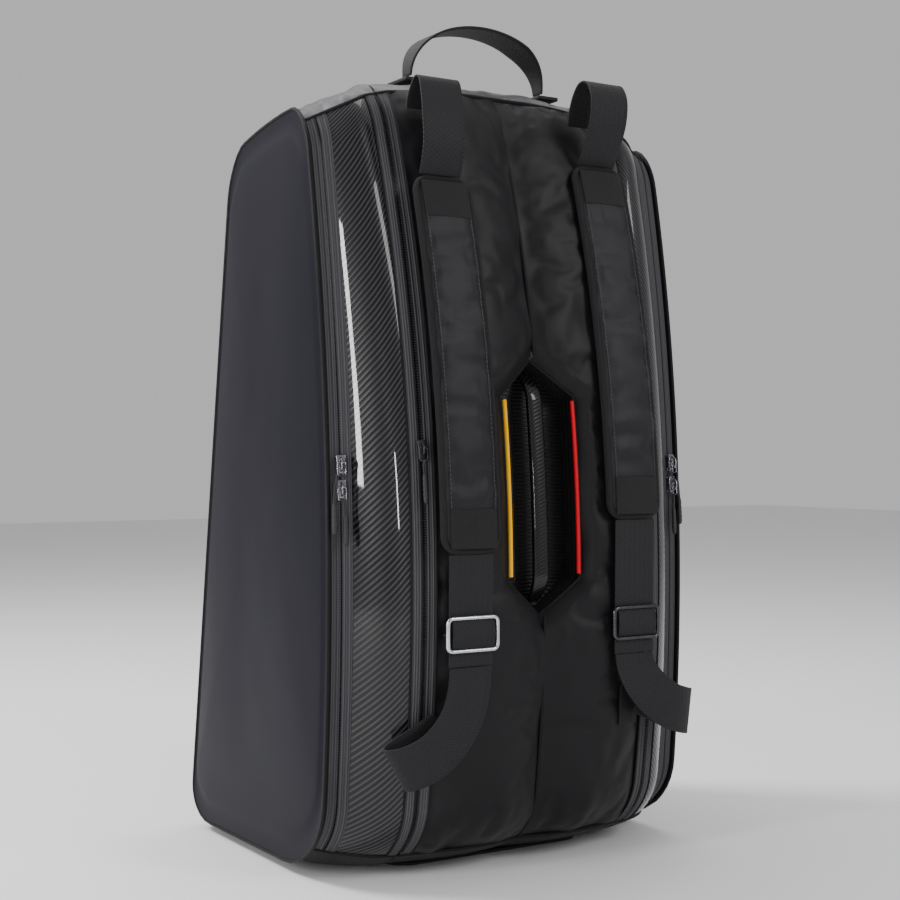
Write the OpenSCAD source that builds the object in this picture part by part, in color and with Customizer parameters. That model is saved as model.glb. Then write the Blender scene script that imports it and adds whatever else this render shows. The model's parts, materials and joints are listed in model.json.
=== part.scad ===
// Racket tournament bag, standing on its base with the shoulder straps facing -Y.
// The bag is symmetric about X = 0, so every right-hand piece is the mirror of a left-hand one.

/* [Body] */
// Height of the body at the centre of its top
body_h = 748; // [700:1:790]
// Half of the width over the piping of the side panels
half_w = 198; // [190:1:210]
// Distance from the origin to the centre seam at its fullest
seam_depth = 166; // [155:1:175]
// Height at which the strap face is fullest
full_z = 265; // [220:1:300]
// Radius of the long bow of the strap face
face_bow_r = 1350; // [1200:10:1600]
// Radius of the long bow of the side panel's front edge
side_bow_r = 2100; // [1800:10:2600]
// Distance from the origin to the far face, at the floor
far_base = 190; // [180:1:200]
// Forward lean of the far face, in mm for each mm of height
far_lean = 0.15; // [0.1:0.01:0.2]
// How far each padded lobe of the strap face stands in front of the centre seam
lobe_puff = 10; // [6:1:12]
// How far a side panel is crowned
side_crown = 7; // [3:1:10]
// Thickness of the padded panels
wall = 3; // [2:0.5:4]

/* [Zips] */
// Distance of the inner edge of the centre compartment's zip from the centre
zip2_in = 117; // [114:1:120]
// Distance of its outer edge from the centre
zip2_out = 140; // [137:1:144]
// Distance of the inner edge of the racket compartment's zip from the centre
zip1_in = 178; // [172:1:180]
// Gap between the two tapes of a zip
zip_gap = 1.2; // [0.8:0.1:2]
// Height at which the two sliders of a racket compartment's zip meet
slider_z = 368; // [350:1:390]

/* [Straps] */
// Distance of a strap's centre line from the centre of the bag
strap_x = 92; // [88:1:92]
// Width of a shoulder pad
pad_w = 62; // [54:1:62]
// Thickness of a shoulder pad
pad_t = 13; // [10:1:16]
// Height of a pad's lower end
pad_low = 300; // [280:1:320]
// Height of a pad's upper end
pad_high = 640; // [620:1:650]
// Width of the strap webbing
web_w = 48; // [40:1:50]
// Thickness of the webbing
web_t = 2; // [1.5:0.1:2.5]
// Height of the middle of the strap's buckle
buckle_z = 229; // [225:1:235]

/* [Grips] */
// Half of the distance between the feet of the top handle
handle_half = 77; // [70:1:80]
// Height of the top handle above its feet
handle_rise = 53; // [48:1:60]
// Width of the top handle's webbing
handle_w = 38; // [30:1:40]
// Width of the hexagonal recess
hex_w = 84; // [78:1:90]
// Height of its lower point
hex_low = 238; // [230:1:245]
// Height of its upper point
hex_high = 476; // [465:1:485]

/* [Hidden] */

seam_gap = 0.4;                        // space between panels of different bodies
zip2_mid = (zip2_in + zip2_out) / 2;
zip1_mid = (zip1_in + half_w) / 2;
lid_x = half_w + seam_gap;             // inner face of a side panel
half_depth = 135;                      // the corners' radii are stated for this half depth
half_h = body_h / 2;
top_fall = 24;                         // fall of the top from front to back
base_z = 3.3;                          // the fabric stands this far above the floor, on the base panel

// The section at mid height: distance from the centre, then for each of those distances the
// depth of the front, the height of the top, the height of the base and the radius of the bow.
section_x = [0, zip2_in, zip2_out, zip1_in, half_w];
section_y = -[seam_depth, seam_depth - 1, seam_depth - 6, seam_depth - 44, seam_depth - 50];
section_top = [for (fall = [0, 7, 13, 32, 42]) body_h - fall];
section_base = [for (rise = [0, 0, 0, 2.7, 8.7]) base_z + rise];
section_bow = [face_bow_r, face_bow_r, face_bow_r, side_bow_r, side_bow_r];
section_puff = [lobe_puff, 0, 5, 0];
corner_r = [70, 45, 50, 42];           // front base, front top, far top, far base
corner_part = 0.16;                    // share of a side's lap taken by half a corner

function mix(a, b, t) = a + (b - a) * t;
function along(a, b, n) = [for (i = [0:n]) mix(a, b, i / n)];
function strip_of(x) =
  x < section_x[1] ? 0 : x < section_x[2] ? 1 : x < section_x[3] ? 2 : 3;
function part_of(x) = let (i = strip_of(x)) (x - section_x[i]) / (section_x[i + 1] - section_x[i]);
function section(values, x) = let (i = strip_of(x)) mix(values[i], values[i + 1], part_of(x));
function bow(r, z) = r - sqrt(r * r - pow(z - full_z, 2));
function front(x, z) =
  section(section_y, x) + bow(section(section_bow, x), z)
  - section_puff[strip_of(x)] * sin(180 * part_of(x));
function far(z) = far_base - far_lean * z;

// One lap round the outline of the bag at one distance from its centre. Side 0 is the front
// going up, 1 the top going back, 2 the far face going down and 3 the base coming forward.
// f runs from -1 to 1 between the middles of the side's two corners.
function side_place(k, f) =
  let (
    own = k % 2 == 0 ? half_h : half_depth,
    other = k % 2 == 0 ? half_depth : half_h,
    r = f < 0 ? corner_r[k] : corner_r[(k + 1) % 4],
    turn = 45 * (abs(f) - 1 + corner_part) / corner_part,
    start = 1 - corner_r[k] / own,
    end = 1 - corner_r[(k + 1) % 4] / own
  )
  abs(f) > 1 - corner_part
    ? [sign(f) * (1 - r / own * (1 - sin(turn))), 1 - r / other * (1 - cos(turn))]
    : [mix(-start, end, (f + 1 - corner_part) / (2 - 2 * corner_part)), 1];
function lap(k, f) =
  let (s = side_place(k, f))
  k == 0 ? [-s[1], s[0]] : k == 1 ? [s[0], s[1]] : k == 2 ? [s[1], -s[0]] : [-s[0], -s[1]];
function steps(n) = concat(
  along(-1, -1 + corner_part, 3),
  [for (i = [1:n - 1]) mix(-1 + corner_part, 1 - corner_part, i / n)],
  along(1 - corner_part, 1, 3)
);
// A point of the bag's skin, inset mm inside it.
function skin(x, k, f, inset = 0) =
  let (
    s = lap(k, f),
    back = (s[0] + 1) / 2,
    z = mix(section(section_base, x) + inset,
            section(section_top, x) - top_fall * back * back - inset, (s[1] + 1) / 2),
    y = mix(front(x, z) + inset, far(z) - inset, back)
  )
  [x, y, z];

// A closed shell between an outer and an inner grid of points.
module shell(outer, inner) {
  n = len(outer);
  m = len(outer[0]);
  at = function (side, i, j) side * n * m + i * m + j;
  quads = concat(
    [for (i = [0:n - 2], j = [0:m - 2]) [at(0, i, j), at(0, i, j + 1), at(0, i + 1, j + 1), at(0, i + 1, j)]],
    [for (i = [0:n - 2], j = [0:m - 2]) [at(1, i, j), at(1, i + 1, j), at(1, i + 1, j + 1), at(1, i, j + 1)]],
    [for (j = [0:m - 2]) [at(0, 0, j + 1), at(0, 0, j), at(1, 0, j), at(1, 0, j + 1)]],
    [for (j = [0:m - 2]) [at(0, n - 1, j), at(0, n - 1, j + 1), at(1, n - 1, j + 1), at(1, n - 1, j)]],
    [for (i = [0:n - 2]) [at(0, i, 0), at(0, i + 1, 0), at(1, i + 1, 0), at(1, i, 0)]],
    [for (i = [0:n - 2]) [at(0, i + 1, m - 1), at(0, i, m - 1), at(1, i, m - 1), at(1, i + 1, m - 1)]]
  );
  polyhedron(
    points = concat([for (row = outer) each row], [for (row = inner) each row]),
    faces = [for (q = quads) each [[q[0], q[1], q[2]], [q[0], q[2], q[3]]]],
    convexity = 6
  );
}

// A panel of the skin, over a list of distances from the centre and of places along side k.
module panel(xs, k, fs, outside = 0, inside = wall) {
  shell(
    [for (x = xs) [for (f = fs) skin(x, k, f, outside)]],
    [for (x = xs) [for (f = fs) skin(x, k, f, inside)]]
  );
}

// A panel that runs across the centre: the skin is mirrored for a negative distance.
function both(x, k, f, inset) = let (p = skin(abs(x), k, f, inset)) [x, p[1], p[2]];
module centre_strip(xs, k, fs) {
  shell(
    [for (x = xs) [for (f = fs) both(x, k, f, 0)]],
    [for (x = xs) [for (f = fs) both(x, k, f, wall)]]
  );
}

// A band along a path. Each point of the path has its own direction across the band.
function unit(v) = v / norm(v);
function heading(path, j) = unit(path[min(j + 1, len(path) - 1)] - path[max(j - 1, 0)]);
module band(path, across, width, thick, edge = 1, cells = 2) {
  half_t = function (t) thick / 2 * (edge + (1 - edge) * pow(1 - pow(2 * t - 1, 4), 0.5));
  wide = function (j) is_list(width) ? width[j] : width;
  place = function (t, j, side)
    path[j] + unit(across[j]) * wide(j) * (t - 0.5)
    + side * half_t(t) * unit(cross(across[j], heading(path, j)));
  shell(
    [for (t = along(0, 1, cells)) [for (j = [0:len(path) - 1]) place(t, j, 1)]],
    [for (t = along(0, 1, cells)) [for (j = [0:len(path) - 1]) place(t, j, -1)]]
  );
}

// A closed tube round a closed path in a plane across X.
module loop_tube(path, r, sides = 6) {
  n = len(path);
  ring = [
    for (j = [0:n - 1])
      let (t = unit(path[(j + 1) % n] - path[(j + n - 1) % n]), out = cross(t, [1, 0, 0]))
      [for (a = [0:sides - 1]) path[j] + r * (cos(360 * a / sides) * out + sin(360 * a / sides) * [1, 0, 0])]
  ];
  at = function (j, a) (j % n) * sides + a % sides;
  polyhedron(
    points = [for (row = ring) each row],
    faces = [
      for (j = [0:n - 1], a = [0:sides - 1])
        each [[at(j, a), at(j, a + 1), at(j + 1, a + 1)], [at(j, a), at(j + 1, a + 1), at(j + 1, a)]]
    ],
    convexity = 6
  );
}

// The closed outline of the bag at one distance from the centre.
function outline(x, inset, n_long, n_short) = [
  for (k = [0:3]) let (fs = steps(k % 2 == 0 ? n_long : n_short))
    for (i = [0:len(fs) - 2]) skin(x, k, fs[i], inset)
];

// A flat sheet across X, filling the outline of the bag.
module cross_sheet(x, thick, inset) {
  points = [for (p = outline(x, inset, 12, 5)) [p[1], p[2]]];
  translate([x, 0, 0]) rotate([90, 0, 90]) linear_extrude(thick) polygon(points);
}

module mirrored(side) {
  if (side < 0) mirror([1, 0, 0]) children();
  else children();
}

module hex_prism(grow, near, deep) {
  half = hex_w / 2 + grow;
  point_h = 34;
  translate([0, near, 0]) rotate([-90, 0, 0]) mirror([0, 1, 0]) linear_extrude(deep - near)
    polygon([
      [0, hex_low - grow], [half, hex_low + point_h - grow], [half, hex_high - point_h + grow],
      [0, hex_high + grow], [-half, hex_high - point_h + grow], [-half, hex_low + point_h - grow]
    ]);
}

// --- pieces on the centre line ---
base_corner_r = 24;
base_w = 220;
base_front = -78;
base_back = 146;

module base_panel() {
  color("#202124") linear_extrude(wall) {
    translate([-base_w / 2 + base_corner_r, base_front]) square([base_w - 2 * base_corner_r, base_back - base_front]);
    translate([-base_w / 2, base_front + base_corner_r]) square([base_w, base_back - base_front - 2 * base_corner_r]);
    for (x = [-1, 1], y = [base_front + base_corner_r, base_back - base_corner_r])
      translate([x * (base_w / 2 - base_corner_r), y]) circle(base_corner_r, $fn = 48);
  }
}

centre_edge = zip2_mid - zip_gap / 2;  // the centre compartment's caps end here
centre_xs = along(-centre_edge, centre_edge, 8);

module far_panel() { color("#26272a") centre_strip(centre_xs, 2, steps(8)); }
cap_trim = 0.985;                      // the centre caps end just short of the seams with the front
cap_steps = [for (f = steps(5)) f * cap_trim];
sheet_inset = wall + 1;                // the inner sheets stand this far inside the bag's surface
divider_t = 2;
divider_front = -120;                  // the divider starts here behind the recess
module centre_top_cap() { color("#2b2c30") centre_strip(centre_xs, 1, cap_steps); }
module centre_bottom_cap() { color("#202124") centre_strip(centre_xs, 3, cap_steps); }
module centre_divider() {
  color("#3a3b40") difference() {
    translate([-divider_t / 2, 0, 0]) cross_sheet(0, divider_t, sheet_inset);
    translate([-divider_t, divider_front - seam_depth, hex_low - divider_t])
      cube([2 * divider_t, seam_depth, hex_high - hex_low + 2 * divider_t]);
  }
}

recess_depth = 26;
recess_zs = along(hex_low - 4, hex_high + 4, 8);
function recess_y(z, d) = -seam_depth + bow(face_bow_r, z) + d;
module recess_slab(near, deep) {
  xs = [-hex_w / 2 - 6, hex_w / 2 + 6];
  shell(
    [for (x = xs) [for (z = recess_zs) [x, recess_y(z, near), z]]],
    [for (x = xs) [for (z = recess_zs) [x, recess_y(z, deep), z]]]
  );
}
module recess_panel() {
  color("#17181a") intersection() {
    recess_slab(recess_depth, recess_depth + 2);
    hex_prism(-0.5, -200, -50);
  }
}
rim_t = 2;
module recess_rim() {
  color("#1d1e20") difference() {
    intersection() {
      recess_slab(2, recess_depth - 0.2);
      hex_prism(-0.4, -200, -50);
    }
    hex_prism(-0.4 - rim_t, -210, -40);
  }
}

piping_r = 1.8;
piping_x = hex_w / 2 - 4.6;
piping_zs = along(hex_low + 38, hex_high - 38, 8);
module recess_piping(side, tint) {
  path = [for (z = piping_zs) [side * piping_x, recess_y(z, -2.4), z]];
  color(tint) band(path, [for (z = piping_zs) [1, 0, 0]], 2 * piping_r, 2 * piping_r, 0.4, 4);
}
module yellow_piping() { recess_piping(-1, "#f2b705"); }
module red_piping() { recess_piping(1, "#d7263d"); }

grip_w = 17;
grip_t = 7;
grip_stand = 19;                       // height of the grip's middle above the recess panel
grip_inset = 13;                       // the grip's ends are this far inside the recess's points
module centre_grip() {
  z_list = along(hex_low + grip_inset, hex_high - grip_inset, 20);
  lift = function (z)
    let (t = (z - z_list[0]) / (z_list[20] - z_list[0])) min(1, min(t, 1 - t) / 0.12);
  path = [
    for (z = z_list)
      [0, recess_y(z, recess_depth - grip_t / 2 - 0.1 - (grip_stand - grip_t / 2) * sin(90 * lift(z))), z]
  ];
  color("#0e0f10") band(path, [for (z = z_list) [1, 0, 0]], grip_w, grip_t, 0.35, 6);
}

handle_y = -45;
handle_tab_z = body_h - 3.7;
handle_tab_t = 4;
handle_clear = 4.5;                    // the loop starts this far above its tabs, so that it can lean
handle_foot_z = handle_tab_z + handle_tab_t + handle_clear;
module top_handle() {
  path = [
    for (a = along(-90, 90, 24))
      [handle_half * sin(a) * (1 - 0.06 * cos(a)), handle_y, handle_foot_z + handle_rise * pow(cos(a), 0.75)]
  ];
  widths = [for (a = along(-90, 90, 24)) handle_w * mix(0.4, 1, min(1, cos(a) / 0.7))];
  color("#131415") band(path, [for (p = path) [0, 1, 0]], widths, web_t + 0.4, 1, 1);
}
module handle_tabs() {
  color("#131415") for (s = [-1, 1])
    translate([s * handle_half - 12, handle_y - handle_w / 2, handle_tab_z]) cube([24, handle_w, handle_tab_t]);
}

// --- panels of one half of the bag, drawn on +X ---
lobe_split = 0.2;                      // half of the space between the two lobes at the seam

module lobe() {
  color("#222326") difference() {
    panel(concat([lobe_split], along(12, zip2_in, 8)), 0, steps(14), 0, wall);
    hex_prism(0, -260, 0);
  }
}
module zip2_inner_tape() {
  color("#1b1c1e") panel([zip2_in, centre_edge], 0, steps(14), 0, wall);
}
outer_edge = half_w - seam_gap;        // a racket compartment's caps end here
zip2_start = zip2_mid + zip_gap / 2;
zip1_start = zip1_mid - zip_gap / 2;
cap_xs = concat([zip2_start, zip2_out], along(152, zip1_in, 2), [zip1_mid, outer_edge]);
module zip2_outer_tape() {
  color("#1b1c1e") panel([zip2_start, zip2_out], 0, steps(14), 0, wall);
}
module carbon_panel() {
  color("#0b0c0d") panel(along(zip2_out, zip1_in, 4), 0, steps(14), 0, wall);
}
module zip1_inner_tape() {
  color("#1b1c1e") panel([zip1_in, zip1_start], 0, steps(14), 0, wall);
}
module top_cap() { color("#3a3a3e") panel(cap_xs, 1, steps(5)); }
module bottom_cap() { color("#2a2a2d") panel(cap_xs, 3, steps(5)); }
module far_gusset() { color("#26272a") panel(cap_xs, 2, steps(8)); }
module partition() { color("#3a3b40") cross_sheet(zip2_start + 0.4, divider_t, sheet_inset); }

// --- the lid of a racket compartment ---
module zip1_outer_tape() {
  color("#1b1c1e") panel([zip1_mid + zip_gap / 2, half_w + seam_gap], 0,
                         [for (f = steps(14)) f * 0.996], 0, wall);
}
side_t = 3;
module side_panel() {
  edge = outline(half_w - 0.01, 0, 12, 6);
  n = len(edge);
  middle = [half_w, (front(half_w, half_h) + far(half_h)) / 2, half_h - 14];
  rings = [1, 0.93, 0.8, 0.62, 0.4, 0.2];
  place = function (j, t, out)
    let (p = middle + (edge[j] - middle) * t)
    [lid_x + (out ? side_t + side_crown * (1 - pow(t, 3)) : side_crown * (1 - pow(t, 3))), p[1], p[2]];
  count = len(rings);
  at = function (out, i, j) (out ? 0 : count * n) + i * n + j % n;
  hub_out = 2 * count * n;
  hub_in = hub_out + 1;
  points = concat(
    [for (t = rings, j = [0:n - 1]) place(j, t, true)],
    [for (t = rings, j = [0:n - 1]) place(j, t, false)],
    [[lid_x + side_t + side_crown, middle[1], middle[2]], [lid_x + side_crown, middle[1], middle[2]]]
  );
  faces = concat(
    [for (i = [0:count - 2], j = [0:n - 1]) each
      [[at(true, i, j), at(true, i + 1, j), at(true, i + 1, j + 1)],
       [at(true, i, j), at(true, i + 1, j + 1), at(true, i, j + 1)]]],
    [for (i = [0:count - 2], j = [0:n - 1]) each
      [[at(false, i, j), at(false, i + 1, j + 1), at(false, i + 1, j)],
       [at(false, i, j), at(false, i, j + 1), at(false, i + 1, j + 1)]]],
    [for (j = [0:n - 1]) [at(true, count - 1, j), hub_out, at(true, count - 1, j + 1)]],
    [for (j = [0:n - 1]) [at(false, count - 1, j), at(false, count - 1, j + 1), hub_in]],
    [for (j = [0:n - 1]) each
      [[at(true, 0, j), at(true, 0, j + 1), at(false, 0, j + 1)],
       [at(true, 0, j), at(false, 0, j + 1), at(false, 0, j)]]]
  );
  color("#2e3036") polyhedron(points = points, faces = faces, convexity = 6);
}
side_piping_r = 2;
module side_piping() {
  path = [for (p = outline(half_w - 0.01, -side_piping_r - 0.1, 12, 6)) [lid_x + side_piping_r, p[1], p[2]]];
  color("#101112") loop_tube(path, side_piping_r);
}

// --- sliders and pulls ---
slider_w = 9;
slider_l = 17;
slider_t = 5;
slider_lift = 0.5;                     // space between a slider and its tapes
bridge_w = 3;
bridge_h = 5;
pull_ring_w = 8.4;
pull_top_bar = 2.2;                    // height of the pull's pivot above the slider's middle
grip_l = 26;

// Places its children on a zip, with +Z along the zip and -Y away from the bag.
module on_zip(x, z) {
  lean = asin((z - full_z) / section(section_bow, x));
  slope = atan2(front(x + 3, z) - front(x - 3, z), 6);
  translate([x, front(x, z), z]) rotate([-lean, 0, 0]) rotate([0, 0, slope]) children();
}
module slider_body(tint, pivot) {
  color(tint) {
    translate([-slider_w / 2, -slider_lift - slider_t, -slider_l / 2]) difference() {
      cube([slider_w, slider_t, slider_l]);
      translate([slider_w / 2 - 1.2, slider_t - 1.8, -1]) cube([2.4, 3, slider_l + 2]);
    }
    // the bridge that holds the pull
    for (z = [-1, 1]) translate([-bridge_w / 2, -slider_lift - slider_t - bridge_h, z * 4.4 - 1])
      cube([bridge_w, bridge_h + 0.5, 2]);
    translate([-bridge_w / 2, -slider_lift - slider_t - bridge_h - 1.4, -5.4]) cube([bridge_w, 1.8, 10.8]);
  }
}
// The pull hangs from the bridge: a metal ring through the bridge, a short cord and a moulded
// grip, set to one side of the slider by shift.
pull_y = -slider_lift - slider_t - bridge_h / 2;
ring_drop = 10.6;
cord_r = 1.1;
grip_r = 2.6;
module pull_body(tint, shift, cord) {
  color(tint) translate([0, pull_y, 0]) {
    difference() {
      translate([-pull_ring_w / 2, -1, -ring_drop]) cube([pull_ring_w, 2, pull_top_bar + ring_drop + 0.5]);
      translate([-bridge_w / 2 - 0.5, -2, -7.2]) cube([bridge_w + 1, 4, pull_top_bar + 6.7]);
    }
    translate([min(shift - cord_r, 0), -1, -ring_drop]) cube([max(abs(shift) + cord_r, cord_r), 2, 2.5]);
    translate([shift, 0, -10]) mirror([0, 0, 1]) cylinder(r = cord_r, h = cord + 1, $fn = 24);
    translate([shift, 0, -ring_drop - cord]) mirror([0, 0, 1]) cylinder(r = grip_r, h = grip_l, $fn = 32);
    translate([shift, 0, -ring_drop - cord - grip_l]) sphere(r = grip_r, $fn = 32);
  }
}
upper_z = slider_z + 11;
lower_z = slider_z - 11;
zip2_slider_z = 392;
// The upper pull hangs beside the lower one: each has its own side step and cord length.
upper_shift = 7.6;
upper_cord = 24;
lower_shift = -2.6;
lower_cord = 12;
zip2_cord = 10;
module zip1_upper_slider() { on_zip(zip1_mid, upper_z) slider_body("#a9adb2"); }
module zip1_lower_slider() { on_zip(zip1_mid, lower_z) slider_body("#a9adb2"); }
module zip2_slider() { on_zip(zip2_mid, zip2_slider_z) slider_body("#2a2b2d"); }
module zip1_upper_pull() { on_zip(zip1_mid, upper_z) pull_body("#1c1c1e", upper_shift, upper_cord); }
module zip1_lower_pull() { on_zip(zip1_mid, lower_z) pull_body("#1c1c1e", lower_shift, lower_cord); }
module zip2_pull() { on_zip(zip2_mid, zip2_slider_z) pull_body("#1c1c1e", 0, zip2_cord); }

// --- a shoulder strap ---
pad_gap = 5.5;                          // a pad's back clears the crown of the lobe behind it
function pad_y(z) = front(strap_x, z) - pad_gap - pad_t / 2;
right_lift = 27;                       // the right strap is let out, so its pad sits this much higher
module strap_pad(lift) {
  zs = along(pad_low + lift, pad_high + lift, 16);
  path = [for (z = zs) [strap_x, pad_y(z), z]];
  color("#28292d") band(path, [for (z = zs) [1, 0, 0]], pad_w, pad_t, 0.35, 8);
}
module adjuster_webbing(lift) {
  zs = along(200, pad_low + lift - 0.3, 5);
  path = [for (z = zs) [strap_x, pad_y(pad_low) + (pad_low - z) * 0.01, z]];
  color("#18191b") band(path, [for (z = zs) [1, 0, 0]], web_w - 2, web_t, 1, 1);
}
buckle_w = 56;
buckle_h = 34;
buckle_t = 3;
bar = 4;
buckle_y = pad_y(pad_low) + (pad_low - buckle_z) * 0.01;
module buckle() {
  front_face = buckle_y - web_t / 2 - 0.5;
  color("#c9ccd0") {
    translate([strap_x - buckle_w / 2, front_face - buckle_t, buckle_z - buckle_h / 2]) difference() {
      cube([buckle_w, buckle_t, buckle_h]);
      translate([bar, -1, bar]) cube([buckle_w - 2 * bar, buckle_t + 2, buckle_h - 2 * bar]);
    }
    // the centre bar runs behind the webbing
    for (s = [-1, 1])
      translate([strap_x + s * (buckle_w / 2 - bar / 2) - bar / 2, front_face - 0.5, buckle_z - bar / 2])
        cube([bar, web_t + 4.5, bar]);
    translate([strap_x - buckle_w / 2, buckle_y + web_t / 2 + 0.5, buckle_z - bar / 2]) cube([buckle_w, 2.5, bar]);
  }
}

// The upper webbing rises from the top of the pad, folds over in a free loop and comes down to
// the lobe behind it. The right loop is the larger, as its strap is let out. Each point is [y, z].
left_loop = [
  [pad_y(pad_high), pad_high + 1], [-137, 670], [-135, 700], [-132, 720], [-128, 731], [-121, 733],
  [-114, 726], [-108, 716], [-106, 707]
];
right_loop = [
  [pad_y(pad_high + right_lift), pad_high + right_lift + 1], [-132, 688], [-142, 710], [-144, 732],
  [-136, 747], [-124, 748], [-114, 737], [-108, 722], [-106, 710]
];
module upper_webbing(loop) {
  path = [for (p = loop) [strap_x, p[0], p[1]]];
  color("#1d1e20") band(path, [for (p = path) [1, 0, 0]], web_w - 4, web_t, 1, 1);
}
// The lower webbing bows outward below the buckle and turns back to its anchor.
lower_y = pad_y(pad_low) + 1;
// The left strap hangs lower than the right. Each point is [x, depth from lower_y, z].
lower_top = 199.6;
lower_route = [
  [strap_x, 0, lower_top], [94, -1, 186], [101, -4, 170], [114, -6, 155], [131, -6, 143], [149, -3, 136],
  [162, 3, 133], [163, 12, 133], [152, 17, 137], [137, 15, 144], [122, 12, 151], [109, 9.5, 157]
];
lower_turn = [0, 10, 26, 43, 60, 70, 76, 76, 70, 64, 60, 56];
left_fall = 1.28;
right_fall = 0.92;
module lower_webbing(fall) {
  path = [for (p = lower_route) [p[0], lower_y + p[1], lower_top - (lower_top - p[2]) * fall]];
  last = len(path) - 1;
  turn = lower_turn / fall;
  color("#18191b") band(
    [for (i = [last:-1:0]) path[i]],
    [for (i = [last:-1:0]) [cos(turn[i]), 0, sin(turn[i])]], web_w - 4, web_t, 1, 1
  );
}
module anchor_tab() {
  color("#18191b") on_zip(zip2_in - 21, 150) translate([-13, -3.2, -20]) cube([26, 3, 40]);
}

// --- every node, placed ---
base_panel();
far_panel();
centre_top_cap();
centre_bottom_cap();
centre_divider();
recess_panel();
recess_rim();
yellow_piping();
red_piping();
centre_grip();
top_handle();
handle_tabs();

mirrored(-1) lobe();  // left_lobe
mirrored(-1) zip2_inner_tape();  // left_zip2_inner_tape
mirrored(-1) upper_webbing(left_loop);  // left_upper_webbing
mirrored(-1) anchor_tab();  // left_anchor_tab
mirrored(-1) lower_webbing(left_fall);  // left_lower_webbing
mirrored(-1) zip2_outer_tape();  // left_zip2_outer_tape
mirrored(-1) carbon_panel();  // left_carbon_panel
mirrored(-1) zip1_inner_tape();  // left_zip1_inner_tape
mirrored(-1) top_cap();  // left_top_cap
mirrored(-1) bottom_cap();  // left_bottom_cap
mirrored(-1) far_gusset();  // left_far_gusset
mirrored(-1) partition();  // left_partition
mirrored(-1) side_panel();  // left_side_panel
mirrored(-1) zip1_outer_tape();  // left_zip1_outer_tape
mirrored(-1) side_piping();  // left_side_piping
mirrored(-1) zip1_upper_slider();  // left_zip1_upper_slider
mirrored(-1) zip1_lower_slider();  // left_zip1_lower_slider
mirrored(-1) zip2_slider();  // left_zip2_slider
mirrored(-1) zip1_upper_pull();  // left_zip1_upper_pull
mirrored(-1) zip1_lower_pull();  // left_zip1_lower_pull
mirrored(-1) zip2_pull();  // left_zip2_pull
mirrored(-1) strap_pad(0);  // left_strap_pad
mirrored(-1) adjuster_webbing(0);  // left_adjuster_webbing
mirrored(-1) buckle();  // left_buckle

mirrored(1) lobe();  // right_lobe
mirrored(1) zip2_inner_tape();  // right_zip2_inner_tape
mirrored(1) upper_webbing(right_loop);  // right_upper_webbing
mirrored(1) anchor_tab();  // right_anchor_tab
mirrored(1) lower_webbing(right_fall);  // right_lower_webbing
mirrored(1) zip2_outer_tape();  // right_zip2_outer_tape
mirrored(1) carbon_panel();  // right_carbon_panel
mirrored(1) zip1_inner_tape();  // right_zip1_inner_tape
mirrored(1) top_cap();  // right_top_cap
mirrored(1) bottom_cap();  // right_bottom_cap
mirrored(1) far_gusset();  // right_far_gusset
mirrored(1) partition();  // right_partition
mirrored(1) side_panel();  // right_side_panel
mirrored(1) zip1_outer_tape();  // right_zip1_outer_tape
mirrored(1) side_piping();  // right_side_piping
mirrored(1) zip1_upper_slider();  // right_zip1_upper_slider
mirrored(1) zip1_lower_slider();  // right_zip1_lower_slider
mirrored(1) zip2_slider();  // right_zip2_slider
mirrored(1) zip1_upper_pull();  // right_zip1_upper_pull
mirrored(1) zip1_lower_pull();  // right_zip1_lower_pull
mirrored(1) zip2_pull();  // right_zip2_pull
mirrored(1) strap_pad(right_lift);  // right_strap_pad
mirrored(1) adjuster_webbing(right_lift);  // right_adjuster_webbing
mirrored(1) buckle();  // right_buckle
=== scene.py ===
# %% [markdown]
# # A racket tournament bag
# The bag stands on its lower end with its shoulder straps facing -Y. The solid model behind it says
# where each panel, zip and strap is and how it moves. This script makes the pieces that are seen:
# sewn panels, tapes, webbing and fittings, each with its own finish.

# %% Load the frame
import json
import math

import bmesh
import bpy
from mathutils import Matrix, Vector, noise

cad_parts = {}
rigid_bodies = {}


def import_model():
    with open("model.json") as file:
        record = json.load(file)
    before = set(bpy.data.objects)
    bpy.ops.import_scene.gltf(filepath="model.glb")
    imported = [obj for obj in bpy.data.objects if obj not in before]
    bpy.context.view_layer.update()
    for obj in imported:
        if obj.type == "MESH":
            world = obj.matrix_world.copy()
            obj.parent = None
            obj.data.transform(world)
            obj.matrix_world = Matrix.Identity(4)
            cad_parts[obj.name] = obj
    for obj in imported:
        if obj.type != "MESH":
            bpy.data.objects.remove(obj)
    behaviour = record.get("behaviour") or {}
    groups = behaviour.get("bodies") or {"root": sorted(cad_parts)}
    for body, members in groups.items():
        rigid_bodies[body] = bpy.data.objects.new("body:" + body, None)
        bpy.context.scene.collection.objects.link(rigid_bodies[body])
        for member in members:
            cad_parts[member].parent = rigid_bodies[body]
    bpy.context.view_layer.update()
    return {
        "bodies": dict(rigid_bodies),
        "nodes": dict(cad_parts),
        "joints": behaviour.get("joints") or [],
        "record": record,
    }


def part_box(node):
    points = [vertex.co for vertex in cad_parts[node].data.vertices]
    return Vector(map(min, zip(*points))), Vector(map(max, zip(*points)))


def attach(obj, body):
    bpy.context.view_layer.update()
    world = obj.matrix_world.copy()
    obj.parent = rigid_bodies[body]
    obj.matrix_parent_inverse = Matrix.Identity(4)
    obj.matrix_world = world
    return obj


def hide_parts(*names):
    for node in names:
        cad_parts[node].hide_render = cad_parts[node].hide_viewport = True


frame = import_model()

MM = 0.001

# %% [markdown]
# ## The camera
# A lens of about 63 mm stands level with the middle of the bag, 1.6 m away and 32 degrees to the
# left of the strap face, so the left side panel and the strap face are both seen.

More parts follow.
